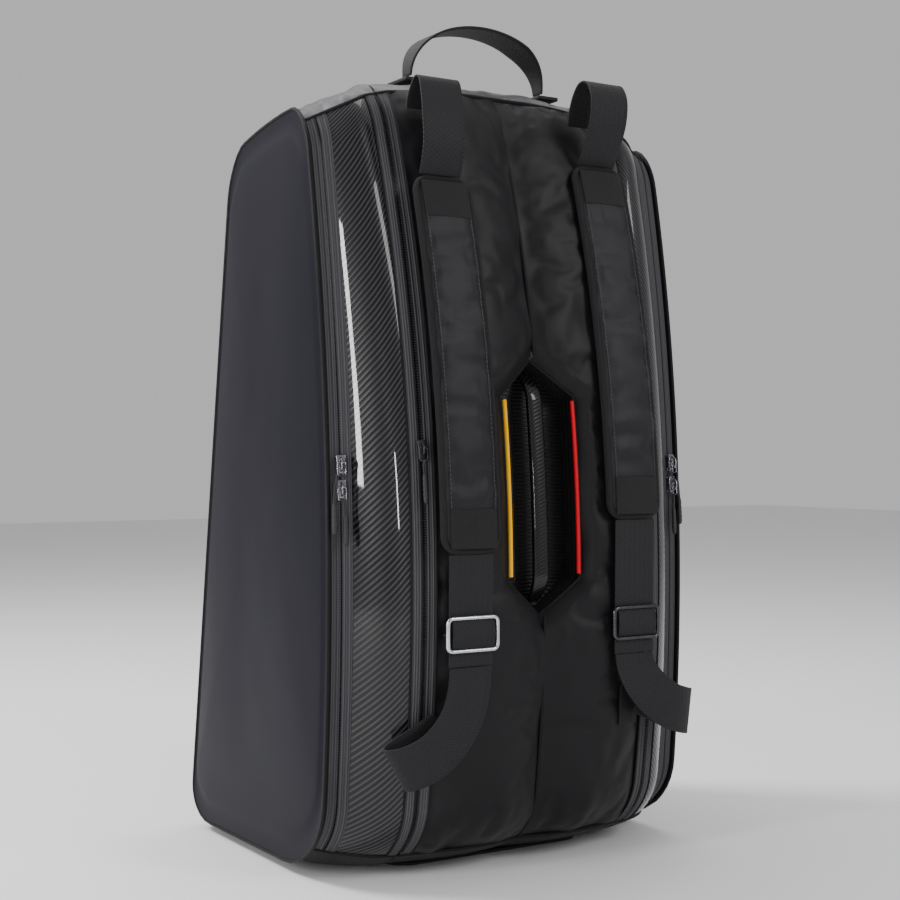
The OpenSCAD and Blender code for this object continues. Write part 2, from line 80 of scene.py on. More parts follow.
# %% Camera
camera_turn = math.radians(32)
camera_distance = 1.6
camera_height = 0.392
camera_lens = 63
camera_data = bpy.data.cameras.new("camera")
camera_data.lens = camera_lens
camera = bpy.data.objects.new("camera", camera_data)
camera.location = (
    -camera_distance * math.sin(camera_turn), -camera_distance * math.cos(camera_turn), camera_height)
camera.rotation_euler = (math.radians(90), 0, -camera_turn)
bpy.context.scene.collection.objects.link(camera)
bpy.context.scene.camera = camera
print("camera at", [round(v, 3) for v in camera.location])

# %% [markdown]
# ## The studio
# A black bag is drawn by what it reflects. Two narrow lights on the left put the white streaks on the
# glossy panel, a high one beyond the far left shapes the side panel, and a pale room fills the rest.

# %% Floor, room and lights
def flat_colour(name, colour, roughness):
    material = bpy.data.materials.new(name)
    material.use_nodes = True
    shader = material.node_tree.nodes["Principled BSDF"]
    shader.inputs["Base Color"].default_value = (*colour, 1)
    shader.inputs["Roughness"].default_value = roughness
    return material


floor_size = 14.0
bm = bmesh.new()
bmesh.ops.create_grid(bm, x_segments=1, y_segments=1, size=floor_size / 2)
floor_mesh = bpy.data.meshes.new("floor")
bm.to_mesh(floor_mesh)
bm.free()
floor_mesh.materials.append(flat_colour("floor", (0.8, 0.8, 0.8), 0.8))
floor = bpy.data.objects.new("floor", floor_mesh)
bpy.context.scene.collection.objects.link(floor)

world = bpy.data.worlds.new("room")
world.use_nodes = True
world.node_tree.nodes["Background"].inputs["Color"].default_value = (0.97, 0.97, 0.98, 1)
world.node_tree.nodes["Background"].inputs["Strength"].default_value = 0.56
bpy.context.scene.world = world


def soft_light(name, place, aim, width, height, power):
    """A rectangular soft light at place, facing aim."""
    data = bpy.data.lights.new(name, "AREA")
    data.shape = "RECTANGLE"
    data.size, data.size_y, data.energy = width, height, power
    light = bpy.data.objects.new(name, data)
    light.location = place
    light.rotation_euler = (Vector(aim) - Vector(place)).to_track_quat("-Z", "Y").to_euler()
    bpy.context.scene.collection.objects.link(light)
    return light


middle = Vector((0, 0, 0.4))
panel = (-0.16, -0.14, 0.42)
soft_light("streak", (-2.4, -0.42, 0.86), panel, 0.16, 0.9, 28)
soft_light("glint", (-1.25, -1.75, 0.50), panel, 0.07, 0.3, 5)
soft_light("side", (-1.5, 1.3, 2.3), middle + Vector((0, 0, 0.45)), 0.8, 0.8, 84)
soft_light("front", (1.2, -2.6, 1.9), middle + Vector((0, 0, 0.1)), 0.9, 1.2, 40)
soft_light("top", (0.2, 0.5, 2.6), middle, 1.8, 1.4, 26)

# %% [markdown]
# ## The shape of the bag
# Every panel lies on one surface. Its outline across X is a rounded, leaning shape whose front is an
# arc, and the panels are strips of it between seams. The same few measures drive the solid model, so
# the places of the seams are read from the solid pieces.

# %% Measures of the body
zip2_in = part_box("right_lobe")[1].x
zip2_out, zip1_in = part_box("right_carbon_panel")[0].x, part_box("right_carbon_panel")[1].x
lid_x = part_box("right_side_panel")[0].x
seam_gap = 0.4 * MM
half_w = lid_x - seam_gap
body_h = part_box("centre_top_cap")[1].z
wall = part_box("base_panel")[1].z
full_z = 0.265
face_bow_r, side_bow_r = 1.35, 2.1
far_base, far_lean = 0.190, 0.15
half_depth, half_h = 0.135, body_h / 2
top_fall = 24 * MM
zip2_mid, zip1_mid = (zip2_in + zip2_out) / 2, (zip1_in + half_w) / 2
seam_depth = 0.166
section_x = [0, zip2_in, zip2_out, zip1_in, half_w]
section_y = [-seam_depth + rise * MM for rise in (0, 1, 6, 44, 50)]
section_top = [body_h - fall * MM for fall in (0, 7, 13, 32, 42)]
section_base = [rise * MM for rise in (3.3, 3.3, 3.3, 6, 12)]
section_bow = [face_bow_r] * 3 + [side_bow_r] * 2
section_puff = [10 * MM, 0, 5 * MM, 0]
corner_r = [0.070, 0.045, 0.050, 0.042]
corner_part = 0.16
print("half width", round(half_w, 4), "height", round(body_h, 4))


# %% The surface of the body
def mix(a, b, t):
    return a + (b - a) * t


def strip_of(x):
    """The strip of the section that distance x lies in, and how far along it."""
    i = min(sum(x >= edge for edge in section_x[1:4]), 3)
    return i, (x - section_x[i]) / (section_x[i + 1] - section_x[i])


def section(values, x):
    i, part = strip_of(x)
    return mix(values[i], values[i + 1], part)


def bow(radius, z):
    return radius - math.sqrt(radius * radius - (z - full_z) ** 2)


def front(x, z):
    """Y of the front surface at distance x from the centre and height z."""
    i, part = strip_of(x)
    puff = section_puff[i] * math.sin(math.pi * part)
    return section(section_y, x) + bow(section(section_bow, x), z) - puff


def far(z):
    return far_base - far_lean * z


def lap(k, f):
    """Place on side k of the rounded square lap, where f runs from -1 to 1.

    Side 0 is the front, 1 the top, 2 the far face and 3 the base.
    """
    own, other = (half_h, half_depth) if k % 2 == 0 else (half_depth, half_h)
    first, last = corner_r[k], corner_r[(k + 1) % 4]
    if abs(f) > 1 - corner_part:
        radius = first if f < 0 else last
        turn = math.pi / 4 * (abs(f) - 1 + corner_part) / corner_part
        a = math.copysign(1 - radius / own * (1 - math.sin(turn)), f)
        b = 1 - radius / other * (1 - math.cos(turn))
    else:
        a = mix(-1 + first / own, 1 - last / own, (f + 1 - corner_part) / (2 - 2 * corner_part))
        b = 1
    return [(-b, a), (a, b), (b, -a), (-a, -b)][k]


def skin(x, k, f, inset=0.0):
    """A point of the bag's surface, moved inward by inset. A negative x is mirrored."""
    p, q = lap(k, f)
    side, x = (-1 if x < 0 else 1), abs(x)
    back = (p + 1) / 2
    low, high = section(section_base, x) + inset, section(section_top, x) - top_fall * back * back - inset
    z = mix(low, high, (q + 1) / 2)
    return Vector((side * x, mix(front(x, z) + inset, far(z) - inset, back), z))


def outline(x, inset=0.0, long_steps=40, short_steps=22):
    """The closed outline of the bag at distance x."""
    points = []
    for k in range(4):
        n = long_steps if k % 2 == 0 else short_steps
        points += [skin(x, k, -1 + 2 * i / n, inset) for i in range(n)]
    return points


print("the seam's middle is at", [round(v, 3) for v in skin(0, 0, 0)])

# %% [markdown]
# ## Finishes
# A small class wraps a shader socket, so that a pattern is written as an expression. Each finish is
# one Principled shader: fabric gets a weave and a little sheen, laminate gets a clear coat.

# %% Shader sockets that do arithmetic
class Sock:
    """A shader socket that can be added, multiplied and compared."""

    def __init__(self, finish, socket):
        self.finish, self.socket = finish, socket

    def _math(self, operation, *values):
        return self.finish.node("ShaderNodeMath", {"operation": operation}, dict(enumerate(values)))

    def __add__(self, other): return self._math("ADD", self, other)
    def __radd__(self, other): return self._math("ADD", other, self)
    def __sub__(self, other): return self._math("SUBTRACT", self, other)
    def __rsub__(self, other): return self._math("SUBTRACT", other, self)
    def __mul__(self, other): return self._math("MULTIPLY", self, other)
    def __rmul__(self, other): return self._math("MULTIPLY", other, self)
    def __truediv__(self, other): return self._math("DIVIDE", self, other)
    def __abs__(self): return self._math("ABSOLUTE", self)
    def sin(self): return self._math("SINE", self)
    def fract(self): return self._math("FRACT", self)
    def power(self, other): return self._math("POWER", self, other)


class Finish:
    """A material and the nodes that feed its Principled shader."""

    def __init__(self, name, roughness, **uniform):
        self.material = bpy.data.materials.new(name)
        self.material.use_nodes = True
        self.tree = self.material.node_tree
        self.shader = self.tree.nodes["Principled BSDF"]
        self.shader.inputs["Roughness"].default_value = roughness
        for socket, value in uniform.items():
            self.shader.inputs[socket.replace("_", " ")].default_value = value

    def set(self, target, value):
        if isinstance(value, Sock):
            self.tree.links.new(value.socket, target)
        else:
            target.default_value = value

    def node(self, kind, settings=None, inputs=None, output=0):
        """Adds a node with its type, its settings and its socket values."""
        made = self.tree.nodes.new(kind)
        for key, value in (settings or {}).items():
            setattr(made, key, value)
        for key, value in (inputs or {}).items():
            self.set(made.inputs[key], value)
        return Sock(self, made.outputs[output])

    def split(self, vector):
        parts = self.tree.nodes.new("ShaderNodeSeparateXYZ")
        self.set(parts.inputs[0], vector)
        return [Sock(self, parts.outputs[i]) for i in range(3)]

    def place(self):
        return self.node("ShaderNodeTexCoord", output="Object")

    def uv(self):
        """The piece's own UV map, whose unit is a metre on the piece."""
        u, v, _ = self.split(self.node("ShaderNodeTexCoord", output="UV"))
        return u, v

    def noise(self, scale, detail=3.0, roughness=0.55):
        return self.node("ShaderNodeTexNoise", {}, {
            "Vector": self.place(), "Scale": scale, "Detail": detail, "Roughness": roughness})

    def colour(self, dark, light, mask):
        """Colour between two colours, by a mask from 0 to 1."""
        return self.node("ShaderNodeMix", {"data_type": "RGBA"}, {
            "Factor": mask, "A": (*dark, 1), "B": (*light, 1)}, output="Result")

    def paint(self, colour, roughness, height, depth, **others):
        """Feeds the shader. height, of at most depth metres, is a bump."""
        self.set(self.shader.inputs["Base Color"], colour)
        self.set(self.shader.inputs["Roughness"], roughness)
        bump = {"Height": height, "Strength": 1.0, "Distance": depth}
        self.set(self.shader.inputs["Normal"], self.node("ShaderNodeBump", {}, bump, "Normal"))
        for socket, value in others.items():
            self.set(self.shader.inputs[socket.replace("_", " ")], value)
        return self.material


TURN = 2 * math.pi

# %% Fabric finishes
def weave(finish, pitch):
    """Height of a plain weave, from the UV map: threads over and under each other."""
    u, v = finish.uv()
    over = (u * (TURN / pitch)).sin() * (v * (TURN / pitch)).sin()
    return over * 0.5 + 0.5


def fabric(
        name, dark, light, roughness, pitch, depth, sheen=0.15, crinkle=0.0, crinkle_scale=40, gloss=0.16):
    """Woven cloth: its colour varies a little, and fine threads and soft crinkles lift its surface."""
    finish = Finish(
        name, roughness, Sheen_Weight=sheen * 0.12, Sheen_Roughness=0.5, Specular_IOR_Level=gloss)
    threads = weave(finish, pitch)
    patches = finish.noise(9, 4)
    grain = finish.noise(900, 2)
    mask = patches * 0.5 + threads * 0.25 + grain * 0.3
    height = threads + crinkle * finish.noise(crinkle_scale, 4)
    return finish.paint(
        finish.colour(dark, light, mask), patches * 0.16 + (roughness - 0.08), height, depth)


FINISHES = {}


def add(make, name, *values):
    """Makes a finish and keeps it under its name."""
    FINISHES[name] = make(name, *values)


add(fabric, "side_fabric",
    (0.0078, 0.0075, 0.0108), (0.0150, 0.0145, 0.0205), 0.44, 1.3 * MM, 0.05 * MM, 0.2, 0.6, 12, 0.05)
add(fabric, "lobe_fabric",
    (0.0030, 0.0029, 0.0036), (0.0075, 0.0073, 0.0090), 0.46, 1.3 * MM, 0.08 * MM, 0.15, 3.5, 26, 0.2)
add(fabric, "cap_fabric",
    (0.024, 0.0235, 0.027), (0.060, 0.0585, 0.066), 0.36, 1.1 * MM, 0.12 * MM, 0.6, 9.0, 45, 0.4)
add(fabric, "base_fabric", (0.010, 0.0095, 0.010), (0.024, 0.023, 0.024), 0.6, 2.2 * MM, 0.3 * MM, 0.1)
add(fabric, "lining", (0.03, 0.03, 0.033), (0.06, 0.06, 0.065), 0.5, 1.2 * MM, 0.1 * MM, 0.2)
add(fabric, "pad_fabric",
    (0.0060, 0.0058, 0.0074), (0.0140, 0.0137, 0.0170), 0.44, 1.2 * MM, 0.08 * MM, 0.3, 2.5, 38, 0.2)
add(fabric, "binding", (0.006, 0.006, 0.0065), (0.020, 0.020, 0.0215), 0.6, 1.6 * MM, 0.22 * MM, 0.2)
add(fabric, "rough_patch",
    (0.006, 0.006, 0.0065), (0.020, 0.020, 0.0215), 0.8, 1.7 * MM, 0.4 * MM, 0.5, 3.0, 700)
add(fabric, "piping_black", (0.003, 0.003, 0.0035), (0.008, 0.008, 0.009), 0.5, 1.0 * MM, 0.1 * MM, 0.1)
add(fabric, "yellow_trim", (0.90, 0.42, 0.0), (1.0, 0.52, 0.0), 0.5, 0.9 * MM, 0.08 * MM, 0.0)
add(fabric, "red_trim", (0.55, 0.003, 0.012), (0.72, 0.006, 0.020), 0.5, 0.9 * MM, 0.08 * MM, 0.0)
print("fabrics:", len(FINISHES))


# %% Webbing, ribbed cloth and zip tape
def webbing(name, dark, light):
    """Woven strap: raised ribs across it in a zigzag."""
    finish = Finish(name, 0.6, Sheen_Weight=0.03, Sheen_Roughness=0.4, Specular_IOR_Level=0.25)
    u, v = finish.uv()
    zigzag = abs((u / (6 * MM)).fract() - 0.5) * 4 * MM
    ribs = ((v + zigzag) * (TURN / (2.2 * MM))).sin() * 0.5 + 0.5
    grain = finish.noise(700, 2)
    return finish.paint(
        finish.colour(dark, light, ribs * 0.6 + grain * 0.4), grain * 0.2 + 0.5, ribs, 0.25 * MM)


def ribbed(name, dark, light, pitch, across, depth, roughness=0.6):
    """Cloth with ribs that run along v, or across it."""
    finish = Finish(name, roughness, Sheen_Weight=0.02, Specular_IOR_Level=0.25)
    u, v = finish.uv()
    ribs = ((v if across else u) * (TURN / pitch)).sin() * 0.5 + 0.5
    threads = ((u if across else v) * (TURN / (1.1 * MM))).sin() * 0.5 + 0.5
    mask = ribs * 0.6 + threads * 0.15 + finish.noise(600, 2) * 0.25
    return finish.paint(finish.colour(dark, light, mask), mask * 0.15 + (roughness - 0.08), ribs, depth)


add(webbing, "strap_webbing", (0.0028, 0.0028, 0.0034), (0.0150, 0.0147, 0.0175))
add(webbing, "handle_webbing", (0.003, 0.003, 0.0035), (0.010, 0.010, 0.011))
add(ribbed, "ribbed_fabric", (0.002, 0.002, 0.0023), (0.009, 0.009, 0.0095), 3.6 * MM, True, 0.6 * MM, 0.5)
add(ribbed, "zip_tape", (0.0120, 0.0117, 0.0140), (0.075, 0.073, 0.082), 2.6 * MM, False, 0.45 * MM)
add(fabric, "zip_teeth", (0.004, 0.004, 0.005), (0.012, 0.012, 0.013), 0.35, 0.8 * MM, 0.02 * MM, 0.0)


# %% Glossy laminate with a twill under a clear coat
def twill(name, pitch, lean, dark, light):
    """Slanting bundles of fibre seen through a clear, hard coat; each bundle's crest has a painted
    highlight.
    """
    finish = Finish(name, 0.3, Coat_Roughness=0.03, Coat_IOR=1.33, Specular_IOR_Level=0.14)
    u, v = finish.uv()
    slant = v * math.cos(lean) - u * math.sin(lean)
    along = v * math.sin(lean) + u * math.cos(lean)
    ridge = (slant * (TURN / pitch)).sin() * 0.5 + 0.5
    weft = (along * (TURN / (pitch * 0.45))).sin() * 0.5 + 0.5
    # Painted highlight: the crest of each slanting ridge is coloured lighter, standing in for the light it
    # catches.
    painted_ridge_highlight = ridge.power(3.0) * (weft * 0.3 + 0.7)
    flow = finish.noise(6, 3)
    return finish.paint(
        finish.colour(dark, light, painted_ridge_highlight * (flow * 0.8 + 0.4)), 0.4 - ridge * 0.12, ridge, 0.16 * MM,
        Coat_Weight=ridge * 0.2 + 0.8)


# The lighter colour of each laminate is the painted highlight on its ridge crests.
add(twill, "carbon_laminate", 4.6 * MM, math.radians(-39), (0.0004, 0.0004, 0.0006), (0.056, 0.056, 0.064))
add(twill, "grip_laminate", 3.0 * MM, math.radians(38), (0.0008, 0.0008, 0.0009), (0.020, 0.020, 0.022))


# %% Metal and rubber
def hard(name, dark, light, roughness, metallic, scale=60, depth=0.02 * MM):
    """Metal or rubber with faint scuffs."""
    finish = Finish(name, roughness, Metallic=metallic)
    scuffs = finish.noise(scale, 5, 0.6)
    return finish.paint(finish.colour(dark, light, scuffs), scuffs * 0.2 + (roughness - 0.1), scuffs, depth)


add(hard, "slider_metal", (0.14, 0.14, 0.155), (0.30, 0.30, 0.32), 0.22, 1.0, 60, 0.002 * MM)
add(hard, "slider_dark", (0.02, 0.02, 0.022), (0.06, 0.06, 0.065), 0.35, 0.8)
# The buckles are one metal in two painted copies: painted bright for the left one's reflection, painted
# dark for the right one's shade.
add(hard, "buckle_metal", (0.45, 0.46, 0.48), (0.68, 0.69, 0.71), 0.22, 1.0)
add(hard, "buckle_dark", (0.045, 0.045, 0.05), (0.09, 0.09, 0.10), 0.28, 1.0)
add(hard, "pull_rubber", (0.004, 0.004, 0.0045), (0.012, 0.012, 0.013), 0.55, 0.0, 300, 0.1 * MM)
add(hard, "stitch", (0.016, 0.016, 0.017), (0.035, 0.035, 0.037), 0.6, 0.0, 900, 0.05 * MM)
print("finishes:", sorted(FINISHES))

# %% [markdown]
# ## Tools for sewn pieces
# A sewn panel starts as a flat grid, and each of its vertices is moved onto the bag's surface, as
# cloth is laid over a form. Its UV map keeps real metres, so a weave has the same size on every piece.

# %% Helpers that make pieces
same_place = 1e-6


def bake(piece):
    """Applies the piece's modifiers, so its mesh is final."""
    graph = bpy.context.evaluated_depsgraph_get()
    mesh = bpy.data.meshes.new_from_object(piece.evaluated_get(graph))
    piece.modifiers.clear()
    piece.data = mesh
    return piece


def round_ring(ring, u):
    """The point at share u of the way round a closed list of points."""
    at = u * len(ring)
    i = int(at) % len(ring)
    return ring[i].lerp(ring[(i + 1) % len(ring)], at - int(at))


def straight(a, b, steps):
    """Evenly spaced values from a to b."""
    return [mix(a, b, i / steps) for i in range(steps + 1)]


def new_piece(name, bm, smooth=True, sharp=50):
    mesh = bpy.data.meshes.new(name)
    bm.to_mesh(mesh)
    bm.free()
    piece = bpy.data.objects.new(name, mesh)
    bpy.context.scene.collection.objects.link(piece)
    shade(piece, smooth, sharp)
    return piece


def shade(piece, smooth=True, sharp=50):
    piece.data.polygons.foreach_set("use_smooth", [smooth] * len(piece.data.polygons))
    piece.data.set_sharp_from_angle(angle=math.radians(sharp))


def thicken(piece, thickness, offset=-1.0, sharp=50):
    solid = piece.modifiers.new("thickness", "SOLIDIFY")
    solid.thickness, solid.offset, solid.use_even_offset = thickness, offset, True
    bake(piece)
    shade(piece, True, sharp)
    return piece


def soften(piece, width, segments=2, angle=35):
    bevel = piece.modifiers.new("edges", "BEVEL")
    bevel.width, bevel.segments = width, segments
    bevel.limit_method, bevel.angle_limit = "ANGLE", math.radians(angle)
    bake(piece)
    shade(piece)
    return piece


def face_towards(bm, direction):
    """Turns an open sheet over if it faces away from direction."""
    bm.normal_update()
    if sum(face.normal.dot(direction) * face.calc_area() for face in bm.faces) < 0:
        bmesh.ops.reverse_faces(bm, faces=bm.faces)


def cloth_panel(name, columns, rows, place, facing=None, thickness=0.0, uv_of=None, folds=None, sharp=50):
    """A grid laid over place(u, v), for u and v from 0 to 1.

    facing is the way an open sheet faces, and None closes the sheet into a solid skin. folds(point)
    gives how far a point is lifted off the surface. uv_of(point) gives the UV map in metres.
    """
    bm = bmesh.new()
    uv = bm.loops.layers.uv.new("UVMap")
    bmesh.ops.create_grid(bm, x_segments=columns, y_segments=rows, size=1.0)
    across = [place(i / 16, 0.5) for i in range(17)]
    along = [place(0.5, i / 16) for i in range(17)]
    width = sum((b - a).length for a, b in zip(across, across[1:]))
    length = sum((b - a).length for a, b in zip(along, along[1:]))
    for face in bm.faces:
        for loop in face.loops:
            loop[uv].uv = ((loop.vert.co.x + 1) / 2 * width, (loop.vert.co.y + 1) / 2 * length)
    for vert in bm.verts:
        vert.co = place((vert.co.x + 1) / 2, (vert.co.y + 1) / 2)
    bmesh.ops.remove_doubles(bm, verts=bm.verts, dist=same_place)
    bmesh.ops.dissolve_degenerate(bm, edges=bm.edges, dist=same_place)
    if facing is None:
        bmesh.ops.recalc_face_normals(bm, faces=bm.faces)
    else:
        face_towards(bm, Vector(facing))
    if folds:
        bm.normal_update()
        lifts = [(vert, vert.normal * folds(vert.co)) for vert in bm.verts]
        for vert, lift in lifts:
            vert.co += lift
    if uv_of:
        for face in bm.faces:
            for loop in face.loops:
                loop[uv].uv = uv_of(loop.vert.co)
    piece = new_piece(name, bm, True, sharp)
    return thicken(piece, thickness, sharp=sharp) if thickness else piece


def cord_tube(name, path, radius, closed=False, roundness=3):
    """A round tube along a path."""
    curve = bpy.data.curves.new(name, "CURVE")
    curve.dimensions, curve.bevel_depth, curve.bevel_resolution = "3D", radius, roundness
    curve.use_fill_caps = not closed
    spline = curve.splines.new("POLY")
    spline.points.add(len(path) - 1)
    for point, place in zip(spline.points, path):
        point.co = (*place, 1)
    spline.use_cyclic_u = closed
    drawn = bpy.data.objects.new(name, curve)
    bpy.context.scene.collection.objects.link(drawn)
    bpy.context.view_layer.update()
    graph = bpy.context.evaluated_depsgraph_get()
    mesh = bpy.data.meshes.new_from_object(drawn.evaluated_get(graph))
    bpy.data.objects.remove(drawn)
    bm = bmesh.new()
    bm.from_mesh(mesh)
    bmesh.ops.remove_doubles(bm, verts=bm.verts, dist=same_place)
    bmesh.ops.recalc_face_normals(bm, faces=bm.faces)
    return new_piece(name, bm)


def band(name, path, across, width, thickness, columns=6):
    """A flat band along a path. across is the direction over its width, or a list with one per point."""
    count = len(path) - 1
    across = across if isinstance(across, list) else [Vector(across)] * len(path)

    def place(u, v):
        at = min(v * count, count - 1e-6)
        i, part = int(at), at - int(at)
        over = across[i].lerp(across[i + 1], part).normalized()
        wide = mix(width[i], width[i + 1], part) if isinstance(width, list) else width
        return path[i].lerp(path[i + 1], part) + over * (wide * (u - 0.5))

    piece = cloth_panel(name, columns, count * 2, place, (0, -1, 0))
    thicken(piece, thickness, 0.0, 60)
    return soften(piece, thickness * 0.3, 2, 60)


def smooth_path(points, steps=6):
    """A smooth curve through a few points."""
    out = []
    n = len(points)
    for i in range(n - 1):
        a, b, c, d = (points[max(i - 1, 0)], points[i], points[i + 1], points[min(i + 2, n - 1)])
        for s in range(steps):
            t = s / steps
            out.append(0.5 * ((2 * b) + (c - a) * t + (2 * a - 5 * b + 4 * c - d) * t * t
                              + (3 * b - a - 3 * c + d) * t ** 3))
    out.append(points[-1])
    return [Vector(p) for p in out]


def stitches(name, path, outward, pitch, length, girth):
    """A row of small stitches along a path. outward gives the surface's direction at a point."""
    bm = bmesh.new()
    lengths = [0.0]
    for a, b in zip(path, path[1:]):
        lengths.append(lengths[-1] + (b - a).length)
    count, i = int(lengths[-1] / pitch), 0
    for s in range(count):
        at = (s + 0.5) * pitch
        while lengths[i + 1] < at:
            i += 1
        part = (at - lengths[i]) / (lengths[i + 1] - lengths[i])
        point = path[i].lerp(path[i + 1], part)
        along = (path[i + 1] - path[i]).normalized()
        out = outward(point)
        side = along.cross(out).normalized()
        turned = Matrix((along, side, out)).transposed().to_4x4()
        size = Matrix.Diagonal((length, girth, girth, 1))
        bmesh.ops.create_cube(bm, size=1.0, matrix=Matrix.Translation(point) @ turned @ size)
    return new_piece(name, bm, False)


def join(name, pieces):
    """Several meshes as one piece."""
    bm = bmesh.new()
    for piece in pieces:
        bm.from_mesh(piece.data)
        bpy.data.objects.remove(piece)
    return new_piece(name, bm)


def put(piece, body, finish, slot=None, *solids):
    """Gives the piece its finish and its body, and hides the solids it stands for."""
    piece.data.materials.clear()
    piece.data.materials.append(FINISHES[finish])
    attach(piece, body)
    if solids:
        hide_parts(*solids)
    return piece


def relax(piece, sewn, slack, reach, pressure=4.0, frames=20):
    """Lets a padded piece settle as cloth over its filling.

    sewn(point) holds a vertex where it is, slack is how much larger the cloth is than its pattern,
    and no vertex ends further than reach from where it was sewn.
    """
    start = [vertex.co.copy() for vertex in piece.data.vertices]
    held = piece.vertex_groups.new(name="held")
    held.add([i for i, point in enumerate(start) if sewn(point)], 1.0, "REPLACE")
    cloth = piece.modifiers.new("cloth", "CLOTH")
    cloth.settings.quality = 5
    cloth.settings.mass = 0.02
    cloth.settings.vertex_group_mass = "held"
    cloth.settings.use_pressure = True
    cloth.settings.uniform_pressure_force = pressure
    cloth.settings.shrink_min = -slack
    cloth.settings.bending_stiffness = 0.2
    cloth.settings.effector_weights.gravity = 0
    cloth.collision_settings.use_collision = False
    for frame in range(1, frames + 1):
        bpy.context.scene.frame_set(frame)
    bake(piece)
    furthest = 0.0
    for vertex, point in zip(piece.data.vertices, start):
        move = vertex.co - point
        furthest = max(furthest, move.length)
        vertex.co = point + move * min(1.0, reach / max(move.length, reach))
    piece.vertex_groups.clear()
    shade(piece)
    print(piece.name, "settled, at most", round(furthest / MM, 2), "mm before the limit")
    return piece


print("helpers are ready")

# %% [markdown]
# ## The centre of the bag
# Two padded lobes meet in a deep crease on the centre line. Round the hexagonal recess their edges
# roll inward, because the foam ends there. A grid follows the recess's edge, so no cut is needed.

# %% The recess's outline
hex_half, hex_point = 42 * MM, 34 * MM
hex_low, hex_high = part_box("recess_panel")[0].z - 0.5 * MM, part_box("recess_panel")[1].z + 0.5 * MM
SIDES = {"left": -1, "right": 1}
OUT = [(0, -1, 0), (0, 0, 1), (0, 1, 0), (0, 0, -1)]
print("the recess runs from", round(hex_low, 3), "to", round(hex_high, 3))


def hex_width(z):
    """Half the recess's width at height z."""
    inside = min(z - hex_low, hex_high - z)
    return hex_half * max(0.0, min(1.0, inside / hex_point))


def hex_gap(x, z):
    """Distance of a point outside the recess's edge."""
    slope = math.hypot(hex_half, hex_point)
    slanted = ((abs(x) * hex_point - min(z - hex_low, hex_high - z) * hex_half)) / slope
    return max(abs(x) - hex_half, slanted)


roll_width, roll_depth = 20 * MM, 11 * MM


def edge_roll(x, z):
    """How far the padding falls back next to the recess."""
    near = max(0.0, 1 - hex_gap(x, z) / roll_width)
    return roll_depth * near ** 2.2


ripple_share, ripple_scale = 0.45, 2.3


def wrinkles(depth, size, stretch, seed):
    """Soft uneven folds of cloth, longer along the axes with a larger stretch."""
    start = Vector((seed, seed * 1.7, seed * 0.6))

    def lift(point):
        at = Vector([c / (size * s) for c, s in zip(point, stretch)]) + start
        return depth * (noise.noise(at) + ripple_share * noise.noise(at * ripple_scale))
    return lift


def shell_panel(name, x0, x1, k, f0, f1, columns, rows, folds=None, puff=0.0, thickness=2.4 * MM):
    """A sewn panel: the strip from x0 to x1 on side k of the bag, padded by puff in its middle."""
    out = Vector(OUT[k])

    def place(u, v):
        crown = puff * math.sin(math.pi * u) ** 0.6 * min(1.0, 6 * v, 6 * (1 - v))
        return skin(mix(x0, x1, u), k, mix(f0, f1, v)) + out * crown

    return cloth_panel(name, columns, rows, place, OUT[k], thickness, folds=folds)


# %% Lobes
zip_margin, recess_margin, seam_margin = 5 * MM, 12 * MM, 9 * MM
free_low, free_high = 30 * MM, 730 * MM


def lobe_sewn(point):
    """True near the zip, the centre seam, the recess and the ends."""
    along = abs(point.x)
    sides = min(zip2_in - along - zip_margin, along - seam_margin)
    ends = min(point.z - free_low, free_high - point.z)
    return min(sides, ends, hex_gap(along, point.z) - recess_margin) < 0


for side, sign in SIDES.items():
    def place(u, v, sign=sign):
        guess = skin(sign * 30 * MM, 0, mix(-1, 1, v))
        inner = hex_width(guess.z)
        x = mix(max(inner, 0.2 * MM), zip2_in - 0.3 * MM, u)
        point = skin(sign * x, 0, mix(-1, 1, v))
        point.y += edge_roll(x, point.z)
        return point

    soft_folds = wrinkles(3.0 * MM, 36 * MM, (1.0, 1, 2.0), 3.0)
    lobe = cloth_panel(side + "_lobe_cloth", 34, 190, place, OUT[0], folds=soft_folds)
    relax(lobe, lobe_sewn, 0.012, 2.6 * MM)
    thicken(lobe, 2.6 * MM)
    put(lobe, "root", "lobe_fabric", None, side + "_lobe")
    print(lobe.name, "has", len(lobe.data.polygons), "faces")


# %% Centre seam between the lobes
def seam_run(x, k, f0, f1, lift, steps=60):
    """Points along a seam at distance x, lifted off the surface."""
    return [skin(x, k, mix(f0, f1, i / steps)) + Vector(OUT[k]) * lift for i in range(steps + 1)]


centre_seam = seam_run(0, 0, -1, 1, -0.4 * MM, 120)
upper_seam = [p for p in centre_seam if p.z > hex_high]
lower_seam = [p for p in centre_seam if p.z < hex_low]
seam = join("centre_seam", [
    cord_tube("upper_seam", upper_seam, 1.6 * MM), cord_tube("lower_seam", lower_seam, 1.6 * MM)])
put(seam, "root", "piping_black")


# %% [markdown]
# ## The recess and its grip
# The recess is lined with a ribbed stretch cloth. Each rib is real: the sheet has four rows of
# vertices to a rib. The grip across it is foam under the same glossy twill as the side strips.

# %% Recess
def recess_y(z, depth):
    return -seam_depth + bow(face_bow_r, z) + depth


recess_depth = 26 * MM
rib_pitch = 3.6 * MM


def recess_place(u, v):
    z = mix(hex_low, hex_high, v)
    x = mix(-1, 1, u) * max(hex_width(z), 0.2 * MM)
    rib = 0.9 * MM * abs(math.sin(math.pi * z / rib_pitch))
    return Vector((x, recess_y(z, recess_depth) - rib, z))


lining = cloth_panel("recess_lining", 16, 264, recess_place, OUT[0], 1.2 * MM)
put(lining, "root", "ribbed_fabric", None, "recess_panel")

hex_corners = [
    (0, hex_low), (hex_half, hex_low + hex_point), (hex_half, hex_high - hex_point),
    (0, hex_high), (-hex_half, hex_high - hex_point), (-hex_half, hex_low + hex_point)]


